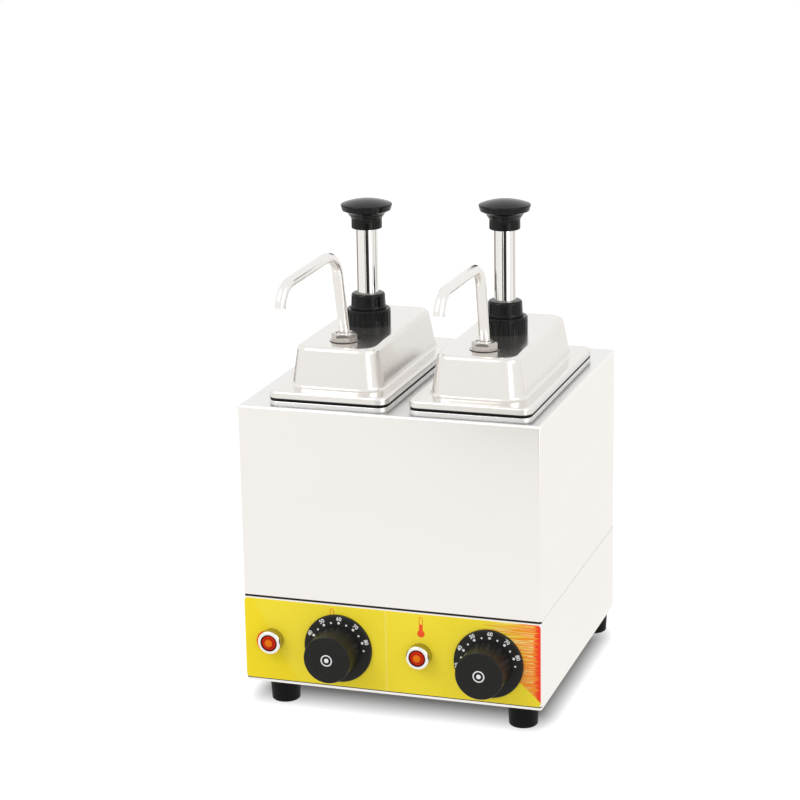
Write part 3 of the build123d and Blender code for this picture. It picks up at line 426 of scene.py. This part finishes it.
def plastic(name, color, roughness, grain, shine=0.5):
    """Moulded plastic with slight handling wear; its grain is a scale per metre and a depth."""
    paint = Paint(name)
    grain_scale, grain_depth = grain
    pits = paint.noise(grain_scale, 2.0)
    wear = paint.noise(35.0, 5.0)
    return paint.surface(
        Base_Color=paint.tint(color, 0.9 + wear * 0.2),
        Roughness=roughness + (wear - 0.5) * 0.12,
        Specular_IOR_Level=shine,
        Normal=paint.bump(pits, grain_depth, 0.6),
    )


LENS_RADIUS = 7.9
# Radians of the moulded rings' wave per millimetre of radius.
LENS_WAVE = 4.6
# Tints by share of the lens radius: painted glow in the bright orange middle, moulded rings, and painted
# shade in the dark rim at the bezel.
LENS_TINTS_PAINTED_GLOW_AND_SHADE = [
    (0.00, (0.12, 0.020, 0.001)),
    (0.10, (0.95, 0.25, 0.005)),
    (0.44, (0.84, 0.13, 0.002)),
    (0.54, (0.38, 0.010, 0.001)),
    (0.74, (0.74, 0.024, 0.001)),
    (0.86, (0.26, 0.004, 0.001)),
    (0.95, (0.012, 0.002, 0.001)),
]


def lens_plastic(side):
    """Tinted lamp lens with moulded rings; its bright orange middle is painted glow and its deep red to
    black rim is painted shade.
    """
    paint = Paint(f"lens_{side}")
    lens_x, _, lens_z = middle(f"lamp_lens_{side}")
    x, _, z = paint.place()
    across = x - lens_x / MM
    height = z - lens_z / MM
    radius = (across * across + height * height).root()
    rings = ((radius * LENS_WAVE).sine() + 1.0) * 0.5
    # Painted glow in the middle and painted shade at the rim, over the moulded rings.
    color = paint.color_ramp(radius / LENS_RADIUS, LENS_TINTS_PAINTED_GLOW_AND_SHADE)
    return paint.surface(
        Base_Color=paint.tint(color, 0.70 + rings * 0.4),
        Roughness=0.14,
        Specular_IOR_Level=0.08,
        Normal=paint.bump(rings, 0.0002, 0.5),
    )


# ---- Panel film ----------------------------------------------------------------------------

LABEL_YELLOW = (0.910, 0.715, 0.020)
LABEL_PALE = (0.915, 0.750, 0.045)
CREASE_PALE = (0.95, 0.85, 0.35)
STREAK_AMBER = (0.920, 0.400, 0.020)
STREAK_ORANGE = (0.940, 0.240, 0.025)
STREAK_RED = (0.920, 0.060, 0.018)
STREAK_PALE = (0.960, 0.820, 0.300)

# The paler field's slanted left edge, and the crease, in millimetres.
FIELD_START = -92.0
FIELD_SLANT = 0.55
FIELD_BLUR = 6.0
CREASE_X = -4.0
CREASE_HALF_WIDTH = 0.2
CREASE_BLUR = 0.7

# The streaks start at the label's end and stay above a line that rises to the left, in millimetres.
LABEL_END = 139.6
STREAK_LENGTH = 54.0
STREAK_FOOT_X = 144.0
STREAK_FOOT_SLOPE = 0.93
STREAK_FOOT_BLUR = 0.6

# Noise scales per metre, low along x so that the streaks run along it.
TORN_LINES = (13.0, 1.0, 950.0)
HAIR_LINES = (24.0, 1.0, 1250.0)

# How far in from the end the noise carries the tears, their orange and the solid red.
TORN_FLOOR = 0.25
TORN_REACH = 2.7
EMBER_REACH = 1.35
SOLID_REACH = 0.075


def panel_film(name):
    """Yellow film with a broad paler field, a crease, and torn orange streaks at the right end."""
    paint = Paint(name)
    x, _, z = paint.place()
    level = z - LABEL_Z
    field = (x + level * FIELD_SLANT).ramp(FIELD_START, FIELD_START + FIELD_BLUR)
    mottle = paint.noise(14.0, 3.0)
    color = paint.mix(field * (0.45 + mottle * 0.6), LABEL_YELLOW, LABEL_PALE)
    crease = 1.0 - abs(x - CREASE_X).ramp(CREASE_HALF_WIDTH, CREASE_HALF_WIDTH + CREASE_BLUR)
    color = paint.mix(crease * 0.35, color, CREASE_PALE)
    from_edge = (LABEL_END - x) / STREAK_LENGTH
    torn = paint.noise(1.0, 2.0, paint.stretched(*TORN_LINES), 0.62)
    hair = paint.noise(1.0, 1.0, paint.stretched(*HAIR_LINES), 0.50)
    reach = (torn - TORN_FLOOR) * TORN_REACH
    above_foot = level - (STREAK_FOOT_X - x) * STREAK_FOOT_SLOPE
    inside = above_foot.ramp(-STREAK_FOOT_BLUR, STREAK_FOOT_BLUR)
    streak = (reach - from_edge).ramp(-0.02, 0.06) * inside
    ember = (reach - from_edge * EMBER_REACH).ramp(0.0, 0.6)
    color = paint.mix(streak, color, paint.mix(ember, STREAK_AMBER, STREAK_ORANGE))
    scratch = hair.ramp(0.54, 0.60) * from_edge.ramp(0.05, 0.16) * (1.0 - from_edge.ramp(0.60, 1.0))
    color = paint.mix(scratch * inside * 0.9, color, STREAK_PALE)
    solid = SOLID_REACH + (hair - 0.5) * 0.22 + (torn - 0.5) * 0.12 - from_edge
    color = paint.mix(solid.ramp(-0.02, 0.02) * inside, color, STREAK_RED)
    return paint.surface(
        Base_Color=color,
        Roughness=0.30 + mottle * 0.08,
        Specular_IOR_Level=0.12,
        Normal=paint.bump(mottle, 0.0002, 0.08),
    )


# ---- Printed and moulded marks -------------------------------------------------------------


def new_piece(name, mesh, body, material):
    """Links a mesh as a piece that rides on a body."""
    piece = bpy.data.objects.new(name, mesh)
    bpy.context.scene.collection.objects.link(piece)
    mesh.materials.clear()
    mesh.materials.append(material)
    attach(piece, body)
    return piece


def plate_from(bm, outline, y, thickness):
    """Adds a flat plate that faces -Y; outline is a list of (x, z)."""
    front = [bm.verts.new((x, y - thickness, z)) for x, z in outline]
    back = [bm.verts.new((x, y, z)) for x, z in outline]
    bm.faces.new(front)
    bm.faces.new(list(reversed(back)))
    count = len(outline)
    for i in range(count):
        j = (i + 1) % count
        bm.faces.new((front[j], front[i], back[i], back[j]))


def circle_points(x, z, radius, count):
    """Points round a circle, counterclockwise as seen from the front."""
    steps = [2 * math.pi * i / count for i in range(count)]
    return [(x + radius * math.cos(a), z + radius * math.sin(a)) for a in steps]


def arch_points(x, z, radius, count):
    """Points over the upper half of a circle, from its right end to its left."""
    steps = [math.pi * i / count for i in range(count + 1)]
    return [(x + radius * math.cos(a), z + radius * math.sin(a)) for a in steps]


RING_SIDES = 48


def ring_from(bm, x, z, inner, outer, y, thickness):
    """Adds a flat ring that faces -Y."""
    loops = []
    for radius, depth in ((outer, thickness), (inner, thickness), (inner, 0), (outer, 0)):
        points = circle_points(x, z, radius, RING_SIDES)
        loops.append([bm.verts.new((px, y - depth, pz)) for px, pz in points])
    for k in range(4):
        first, second = loops[k], loops[(k + 1) % 4]
        for i in range(RING_SIDES):
            j = (i + 1) % RING_SIDES
            bm.faces.new((first[i], first[j], second[j], second[i]))


def mesh_of(bm, name):
    """Finishes a bmesh as a mesh with outward normals."""
    bmesh.ops.recalc_face_normals(bm, faces=bm.faces)
    mesh = bpy.data.meshes.new(name)
    bm.to_mesh(mesh)
    bm.free()
    return mesh


LABEL_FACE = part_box("control_label")[0][1]
PRINT_THICKNESS = 0.06 * MM
LINE_THICKNESS = 0.9 * PRINT_THICKNESS
FIGURE_HEIGHT = 5.0 * MM
FIGURE_WEIGHT = 0.12 * MM


def add_figure(bm, text, place):
    """Adds a printed number, middle at the place's origin and its front along the place's +Z."""
    curve = bpy.data.curves.new("figure", "FONT")
    curve.body = text
    curve.size = FIGURE_HEIGHT
    curve.extrude = PRINT_THICKNESS / 2
    curve.offset = FIGURE_WEIGHT
    curve.align_x = "CENTER"
    curve.align_y = "CENTER"
    curve.resolution_u = 4
    holder = bpy.data.objects.new("figure", curve)
    bpy.context.scene.collection.objects.link(holder)
    bpy.context.view_layer.update()
    mesh = bpy.data.meshes.new_from_object(holder.evaluated_get(bpy.context.evaluated_depsgraph_get()))
    mesh.transform(place)
    bm.from_mesh(mesh)
    bpy.data.objects.remove(holder)
    bpy.data.curves.remove(curve)
    bpy.data.meshes.remove(mesh)


# The first mark's turn from straight up and the turn from mark to mark, in degrees.
SCALE_START = -97.4
DEGREES_PER_MARK = 16.9
MARK_COUNT = 12
FIRST_FIGURE = 30
FIGURE_STEP = 5
DOT_RING = 25.1 * MM
NUMBERED_DOT = 1.25 * MM
PLAIN_DOT = 0.95 * MM
DOT_SIDES = 20
FIGURE_RING = 28.9 * MM


def scale_figures(side):
    """Dots of a scale ring, clockwise from the lower left, with a number at every other one."""
    x, _, z = middle(f"dial_scale_{side}")
    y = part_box(f"dial_scale_{side}")[0][1]
    bm = bmesh.new()
    for i in range(MARK_COUNT):
        turn = math.radians(SCALE_START + DEGREES_PER_MARK * i)
        out_x, out_z = Vector((math.sin(turn), math.cos(turn)))
        numbered = i % 2 == 0
        radius = NUMBERED_DOT if numbered else PLAIN_DOT
        dot = circle_points(x + out_x * DOT_RING, z + out_z * DOT_RING, radius, DOT_SIDES)
        plate_from(bm, dot, y, PRINT_THICKNESS)
        if numbered:
            spot = (x + out_x * FIGURE_RING, y - PRINT_THICKNESS / 2, z + out_z * FIGURE_RING)
            upright = Matrix.Rotation(math.pi / 2, 4, "X")
            place = Matrix.Translation(spot) @ Matrix.Rotation(turn, 4, "Y") @ upright
            add_figure(bm, str(FIRST_FIGURE + FIGURE_STEP * i), place)
    new_piece(f"scale_figures_{side}", mesh_of(bm, "figures"), "housing", print_white)


EMBLEM_RADIUS = 5.4 * MM
EMBLEM_LINE = 1.1 * MM
EMBLEM_DOT = 2.1 * MM
EMBLEM_SIDES = 24


def dial_emblem(side):
    """Plain ring and dot on a dial's face."""
    x, _, z = middle(f"dial_knob_{side}")
    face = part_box(f"dial_knob_{side}")[0][1]
    bm = bmesh.new()
    ring_from(bm, x, z, EMBLEM_RADIUS - EMBLEM_LINE, EMBLEM_RADIUS, face, PRINT_THICKNESS)
    plate_from(bm, circle_points(x, z, EMBLEM_DOT, EMBLEM_SIDES), face, PRINT_THICKNESS)
    new_piece(f"dial_emblem_{side}", mesh_of(bm, "emblem"), f"dial_{side}", print_silver)


POINTER_WIDTH = 2.6 * MM
POINTER_REACH = 1.2 * MM
POINTER_LENGTH = 5.0 * MM
POINTER_FROM_BACK = 0.6 * MM
POINTER_SUNK = 0.3 * MM


def dial_pointer(side):
    """Small moulded pointer at the foot of a dial's rim."""
    x, _, _ = middle(f"dial_knob_{side}")
    low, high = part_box(f"dial_knob_{side}")
    back = high[1] - POINTER_FROM_BACK
    rim = low[2] + POINTER_SUNK
    corners = [
        (x - POINTER_WIDTH / 2, back, rim),
        (x + POINTER_WIDTH / 2, back, rim),
        (x, back - POINTER_LENGTH, rim),
        (x, back, rim - POINTER_REACH),
    ]
    bm = bmesh.new()
    verts = [bm.verts.new(corner) for corner in corners]
    for face_corners in ((0, 1, 2), (0, 1, 3), (1, 2, 3), (2, 0, 3)):
        bm.faces.new([verts[i] for i in face_corners])
    new_piece(f"dial_pointer_{side}", mesh_of(bm, "pointer"), f"dial_{side}", print_white)


LAMP_MARK_LEFT_BY = 4.6 * MM
LAMP_MARK_DOWN_BY = 2.6 * MM
LAMP_MARK_INNER = 9.0 * MM
LAMP_MARK_OUTER = 11.0 * MM


def lamp_mark():
    """Red ring printed on the film, mostly hidden by the left pilot lamp's bezel."""
    bezel_x, _, bezel_z = middle("lamp_bezel_left")
    x = bezel_x - LAMP_MARK_LEFT_BY
    z = bezel_z - LAMP_MARK_DOWN_BY
    bm = bmesh.new()
    ring_from(bm, x, z, LAMP_MARK_INNER, LAMP_MARK_OUTER, LABEL_FACE, PRINT_THICKNESS)
    new_piece("lamp_mark_left", mesh_of(bm, "lamp_mark"), "housing", print_red)


THERMOMETER_X = {"left": -55.0 * MM, "right": 29.2 * MM}
THERMOMETER_BULB_Z = 83.6 * MM
THERMOMETER_HEIGHT = 15.8 * MM
THERMOMETER_BULB = 3.5 * MM
THERMOMETER_TUBE = 1.75 * MM
THERMOMETER_LINE = 0.55 * MM
THERMOMETER_FILLED = 0.55
BULB_SIDES = 32
ARCH_STEPS = 12


def thermometer_mark(side):
    """Plain thermometer figure printed on the panel film: bulb, column and an open tube top."""
    x = THERMOMETER_X[side]
    foot = THERMOMETER_BULB_Z
    half = THERMOMETER_TUBE
    hollow = half - THERMOMETER_LINE
    level = foot + THERMOMETER_FILLED * THERMOMETER_HEIGHT
    shoulder = foot + THERMOMETER_HEIGHT - half
    bm = bmesh.new()
    plate_from(bm, circle_points(x, foot, THERMOMETER_BULB, BULB_SIDES), LABEL_FACE, PRINT_THICKNESS)
    column = [(x - half, foot), (x + half, foot), (x + half, level), (x - half, level)]
    plate_from(bm, column, LABEL_FACE, LINE_THICKNESS)
    for left, right in ((x - half, x - hollow), (x + hollow, x + half)):
        wall = [(left, level), (right, level), (right, shoulder), (left, shoulder)]
        plate_from(bm, wall, LABEL_FACE, LINE_THICKNESS)
    outer = arch_points(x, shoulder, half, ARCH_STEPS)
    inner = arch_points(x, shoulder, hollow, ARCH_STEPS)
    plate_from(bm, outer + inner[::-1], LABEL_FACE, LINE_THICKNESS)
    new_piece(f"thermometer_mark_{side}", mesh_of(bm, "thermometer"), "housing", print_red)


# ---- Springs -------------------------------------------------------------------------------


def pressed_spring(side):
    """The spring's own coils once more, as a piece that rides on the lid in place of the hidden CAD node.
    """
    node = f"return_spring_{side}"
    joint = f"plunger_press_{side}"
    low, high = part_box(node)
    stroke = next(row["range_m"][1] for row in frame["joints"] if row["name"] == joint)
    coils = bpy.data.objects[node].data.copy()
    spring = new_piece(f"spring_coils_{side}", coils, f"lid_{side}", spring_finish)
    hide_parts(node)
    1.0 - stroke / (high[2] - low[2])
    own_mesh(spring)


# ---- Surroundings --------------------------------------------------------------------------

# Panels that only metal and gloss mirror: bearings from and to, and their blur, in degrees.
SOFT_BOX = (25.0, 41.0, 2.0)
DARK_PANEL = (-28.0, 12.0, 4.0)
LEFT_FLAG = (-150.0, -122.0, 6.0)
RIGHT_FLAG = (96.0, 114.0, 5.0)
RIGHT_FLAG_SHARE = 0.5
# How far out they show in the floor, from and to, and the blur, in millimetres.
PANEL_FLOOR = (1300.0, 2300.0, 100.0)
SOFT_BOX_STRENGTH = 2.6
WHITE = (1.0, 1.0, 1.0)
MIRROR_WHITE = (0.97, 0.96, 0.94)
MIRROR_FLAG = (0.30, 0.26, 0.24)
MIRROR_DARK = (0.03, 0.03, 0.03)


def bearing(x, y):
    """Degrees round the warmer from the camera's side, positive to the right."""
    right = x * math.cos(CAMERA_AZIMUTH) + y * math.sin(CAMERA_AZIMUTH)
    ahead = x * math.sin(CAMERA_AZIMUTH) - y * math.cos(CAMERA_AZIMUTH)
    return right.join("ARCTAN2", right, ahead) * (180.0 / math.pi)


FLOOR_HALF = 4000.0 * MM
FLOOR_DROP = 0.2 * MM
FLOOR_COLOR = (0.84, 0.84, 0.84)
FLOOR_DIM_COLOR = (0.16, 0.16, 0.16)

# The painted shadow under the warmer: its glow, its edges and how far they fade inwards, in millimetres.
SHADE_GLOW = 0.09
SHADE_HALF_WIDTH = 150.0
SHADE_FRONT = -123.0
SHADE_BACK = 168.0
SIDE_SHADE = 24.0
END_SHADE = 53.0
SHADE_FALLOFF = 1.2


def shaded_glow(paint, x, y):
    """Painted shadow: white away from the warmer, dim under it, fading at its edges."""
    aside = (abs(x) + SIDE_SHADE - SHADE_HALF_WIDTH).high(0.0) / SIDE_SHADE
    before = (SHADE_FRONT + END_SHADE - y).high(0.0) / END_SHADE
    behind = (y + END_SHADE - SHADE_BACK).high(0.0) / END_SHADE
    lit = (aside * aside + before * before + behind * behind).root().low(1.0)
    return paint.tint(WHITE, SHADE_GLOW + lit ** SHADE_FALLOFF * (1.0 - SHADE_GLOW))


def mirrored_floor(paint, x, y):
    """What metal and gloss mirror in the floor: white, with its flags, dark panel and soft box."""
    turn = bearing(x, y)
    far = (x * x + y * y).root().between(*PANEL_FLOOR)
    flags = turn.between(*LEFT_FLAG).high(turn.between(*RIGHT_FLAG) * RIGHT_FLAG_SHARE) * far
    color = paint.mix(flags, MIRROR_WHITE, MIRROR_FLAG)
    color = paint.mix(turn.between(*DARK_PANEL) * far, color, MIRROR_DARK)
    return paint.tint(color, 1.0 + turn.between(*SOFT_BOX) * far * (SOFT_BOX_STRENGTH - 1.0))


def floor_paint():
    """Pale matt floor; its own glow keeps it white to the camera, dimmed under the warmer as a painted
    shadow, while the dim matt part keeps the real shadow.
    """
    paint = Paint("floor")
    rays = paint.node("ShaderNodeLightPath")
    x, y, _ = paint.place()
    lit = paint.glow(shaded_glow(paint, x, y))
    seen = paint.node("ShaderNodeAddShader", None, {0: paint.matt(FLOOR_DIM_COLOR), 1: lit}).out(0)
    shown = paint.choose(rays.out("Is Camera Ray"), paint.matt(FLOOR_COLOR), seen)
    mirrored = paint.glow(mirrored_floor(paint, x, y))
    final = paint.choose(rays.out("Is Glossy Ray"), shown, mirrored)
    paint.feed(paint.tree.nodes["Material Output"].inputs["Surface"], final)
    return paint.owner


def make_floor():
    """A wide plane just under the feet."""
    size = FLOOR_HALF
    corners = [(-size, -size), (size, -size), (size, size), (-size, size)]
    bm = bmesh.new()
    bm.faces.new([bm.verts.new((x, y, -FLOOR_DROP)) for x, y in corners])
    floor = bpy.data.objects.new("floor", mesh_of(bm, "floor"))
    bpy.context.scene.collection.objects.link(floor)
    floor.data.materials.append(floor_paint())


WORLD_LIGHT = 0.80
# The soft box's top edge, as the upward part of a direction of length 1.
SOFT_BOX_TOP = 0.30
SOFT_BOX_TOP_BLUR = 0.04


def make_world():
    """White surroundings, a little dimmer for lighting than for what is seen in metal."""
    world = bpy.data.worlds.new("studio")
    bpy.context.scene.world = world
    paint = Paint("studio", world)
    rays = paint.node("ShaderNodeLightPath")
    glossy = rays.out("Is Glossy Ray")
    seen = rays.out("Is Camera Ray").high(glossy).high(rays.out("Is Transmission Ray"))
    x, y, z = paint.split(paint.node("ShaderNodeTexCoord").out("Generated"))
    under_top = 1.0 - z.ramp(SOFT_BOX_TOP, SOFT_BOX_TOP + SOFT_BOX_TOP_BLUR)
    panel = bearing(x, y).between(*SOFT_BOX) * under_top
    strength = WORLD_LIGHT + seen * (1.0 - WORLD_LIGHT)
    strength = strength + glossy * panel * (SOFT_BOX_STRENGTH - 1.0)
    back = paint.tree.nodes["Background"]
    paint.feed(back.inputs["Color"], paint.tint(WHITE, strength))
    paint.feed(back.inputs["Strength"], 1.0)


LAMP_SIZE = 1.6
LAMP_AIM = Vector((0, 0, 0.2))


def make_lamp(name, place, power):
    """Square soft box that shines at the warmer."""
    data = bpy.data.lights.new(name, "AREA")
    data.size = LAMP_SIZE
    data.energy = power
    lamp = bpy.data.objects.new(name, data)
    lamp.location = place
    lamp.rotation_euler = (LAMP_AIM - Vector(place)).to_track_quat("-Z", "Y").to_euler()
    bpy.context.scene.collection.objects.link(lamp)


# ---- Finishes of the CAD nodes -------------------------------------------------------------


def finish_nodes(material, *names):
    """Gives CAD nodes a finish."""
    for name in names:
        for slot in frame["nodes"][name].material_slots:
            slot.material = material


BATH_GREY = (0.62, 0.62, 0.62)
PAN_GREY = (0.76, 0.755, 0.74)
NUT_GREY = (0.62, 0.585, 0.55)
LID_GREY = (0.83, 0.805, 0.775)
RUBBER_BLACK = (0.006, 0.006, 0.006)
GLOSS_BLACK = (0.004, 0.004, 0.004)
MATT_BLACK = (0.020, 0.020, 0.019)
DIAL_BLACK = (0.014, 0.0135, 0.013)


def finish_housing():
    """Casings, plates, baths and their fasteners."""
    bath = steel("bath_finish", BATH_GREY, roughness=0.32, grain=0.16, grain_axis="z", metal=0.75)
    fastener = steel("fastener_finish", (0.62, 0.62, 0.63), roughness=0.30, grain=0.10, grain_axis="x")
    finish_nodes(upper_casing_steel("housing_finish"), "upper_casing")
    finish_nodes(base_casing_steel("base_finish"), "base_casing")
    finish_nodes(bath, "bottom_plate", *both_sides("water_bath"))
    finish_nodes(fastener, "casing_screws", "foot_bolts", "thermostat_screws")
    finish_nodes(fastener, *both_sides("thermostat_shaft"))
    rubber = plastic("rubber_finish", RUBBER_BLACK, roughness=0.55, grain=(1500.0, 0.00006), shine=0.10)
    finish_nodes(rubber, "feet")


def finish_pans_and_lids():
    """Pans, domed lids and the gaskets between them."""
    pan = steel("pan_finish", PAN_GREY, roughness=0.24, grain=0.16, grain_axis="z", metal=0.75)
    lid = steel(
        "lid_finish",
        LID_GREY,
        roughness=0.17,
        grain=0.05,
        grain_axis="y",
        # Painted shade: the flange's lowest band is black, as the shadow over the gasket.
        shade_line_z=LID_Z,
        metal=0.70,
        top_metal=0.97,
    )
    gasket = plastic("gasket_finish", RUBBER_BLACK, roughness=0.60, grain=(900.0, 0.00003), shine=0.10)
    finish_nodes(pan, *both_sides("food_pan"))
    finish_nodes(lid, *both_sides("lid"))
    finish_nodes(gasket, *both_sides("lid_gasket"))


def finish_pumps():
    """Barrels, plungers, spouts and their black plastic fittings."""
    pump = steel("pump_finish", PAN_GREY, roughness=0.22, grain=0.12, grain_axis="z")
    chrome = steel("chrome_finish", (0.90, 0.885, 0.865), roughness=0.05, grain=0.03, grain_axis="z")
    spout = steel("spout_finish", (0.87, 0.845, 0.82), roughness=0.13, grain=0.03, grain_axis="z")
    # Painted shade: the nut's lowest band is black, as its shadow on the lid.
    nut = steel("nut_finish", NUT_GREY, roughness=0.16, grain=0.10, grain_axis="x", shade_line_z=NUT_Z)
    gloss = plastic("gloss_black_finish", GLOSS_BLACK, roughness=0.15, grain=(900.0, 0.00002), shine=0.22)
    finish_nodes(pump, *both_sides("pump_barrel", "discharge_pipe"))
    finish_nodes(chrome, *both_sides("plunger_tube"))
    finish_nodes(spout, *both_sides("spout_tube"))
    finish_nodes(nut, *both_sides("spout_nut"))
    finish_nodes(gloss, *both_sides("clamp_nut", "guide_collar", "push_knob"))


def finish_controls():
    """Label, dials and pilot lamps."""
    black = plastic("black_finish", MATT_BLACK, roughness=0.45, grain=(1800.0, 0.00004), shine=0.15)
    cap = plastic("dial_finish", DIAL_BLACK, roughness=0.38, grain=(2200.0, 0.00004), shine=0.16)
    finish_nodes(panel_film("panel_film"), "control_label")
    finish_nodes(black, "cord_gland", *both_sides("dial_scale"))
    finish_nodes(cap, *both_sides("dial_knob"))
    finish_nodes(bezel_chrome("bezel_finish"), *both_sides("lamp_bezel"))
    for side in SIDES:
        finish_nodes(lens_plastic(side), f"lamp_lens_{side}")


def finish_works():
    """Heating, probes, thermostats, wiring and the white parts of the pumps."""
    brass = steel("brass_finish", (0.72, 0.53, 0.22), roughness=0.28, grain=0.10, grain_axis="z")
    copper = steel("copper_finish", (0.72, 0.38, 0.24), roughness=0.30, grain=0.06, grain_axis="x")
    white = plastic("white_finish", (0.80, 0.79, 0.75), roughness=0.38, grain=(1500.0, 0.00003))
    grey = plastic("grey_finish", (0.28, 0.28, 0.29), roughness=0.45, grain=(1500.0, 0.00004))
    wire = plastic("wire_finish", (0.50, 0.03, 0.025), roughness=0.50, grain=(900.0, 0.00003))
    finish_nodes(brass, "lock_nuts")
    finish_nodes(copper, *both_sides("temperature_probe"))
    finish_nodes(heated_steel("element_finish"), *both_sides("heating_element"))
    finish_nodes(white, "terminal_block", *both_sides("lamp_body", "piston", "inlet_valve"))
    finish_nodes(grey, *both_sides("thermostat"))
    finish_nodes(wire, "wiring")


# ---- The scene -----------------------------------------------------------------------------

make_camera()
make_world()
make_floor()
make_lamp("key", place=(-1.4, -1.6, 2.2), power=22)
make_lamp("fill", place=(2.2, -0.8, 1.6), power=12)

finish_housing()
finish_pans_and_lids()
finish_pumps()
finish_controls()
finish_works()

spring_finish = steel("spring_finish", (0.60, 0.60, 0.62), roughness=0.28, grain=0.08, grain_axis="z")
print_white = plastic("print_white", (0.90, 0.90, 0.89), roughness=0.45, grain=(1500.0, 0.00001))
print_silver = plastic("print_silver", (0.82, 0.82, 0.82), roughness=0.35, grain=(1500.0, 0.00001))
print_red = plastic("print_red", (0.90, 0.10, 0.02), roughness=0.40, grain=(1500.0, 0.00001), shine=0.12)

for side in SIDES:
    scale_figures(side)
    dial_emblem(side)
    dial_pointer(side)
    thermometer_mark(side)
    pressed_spring(side)
lamp_mark()

bpy.context.scene.view_settings.view_transform = "Standard"
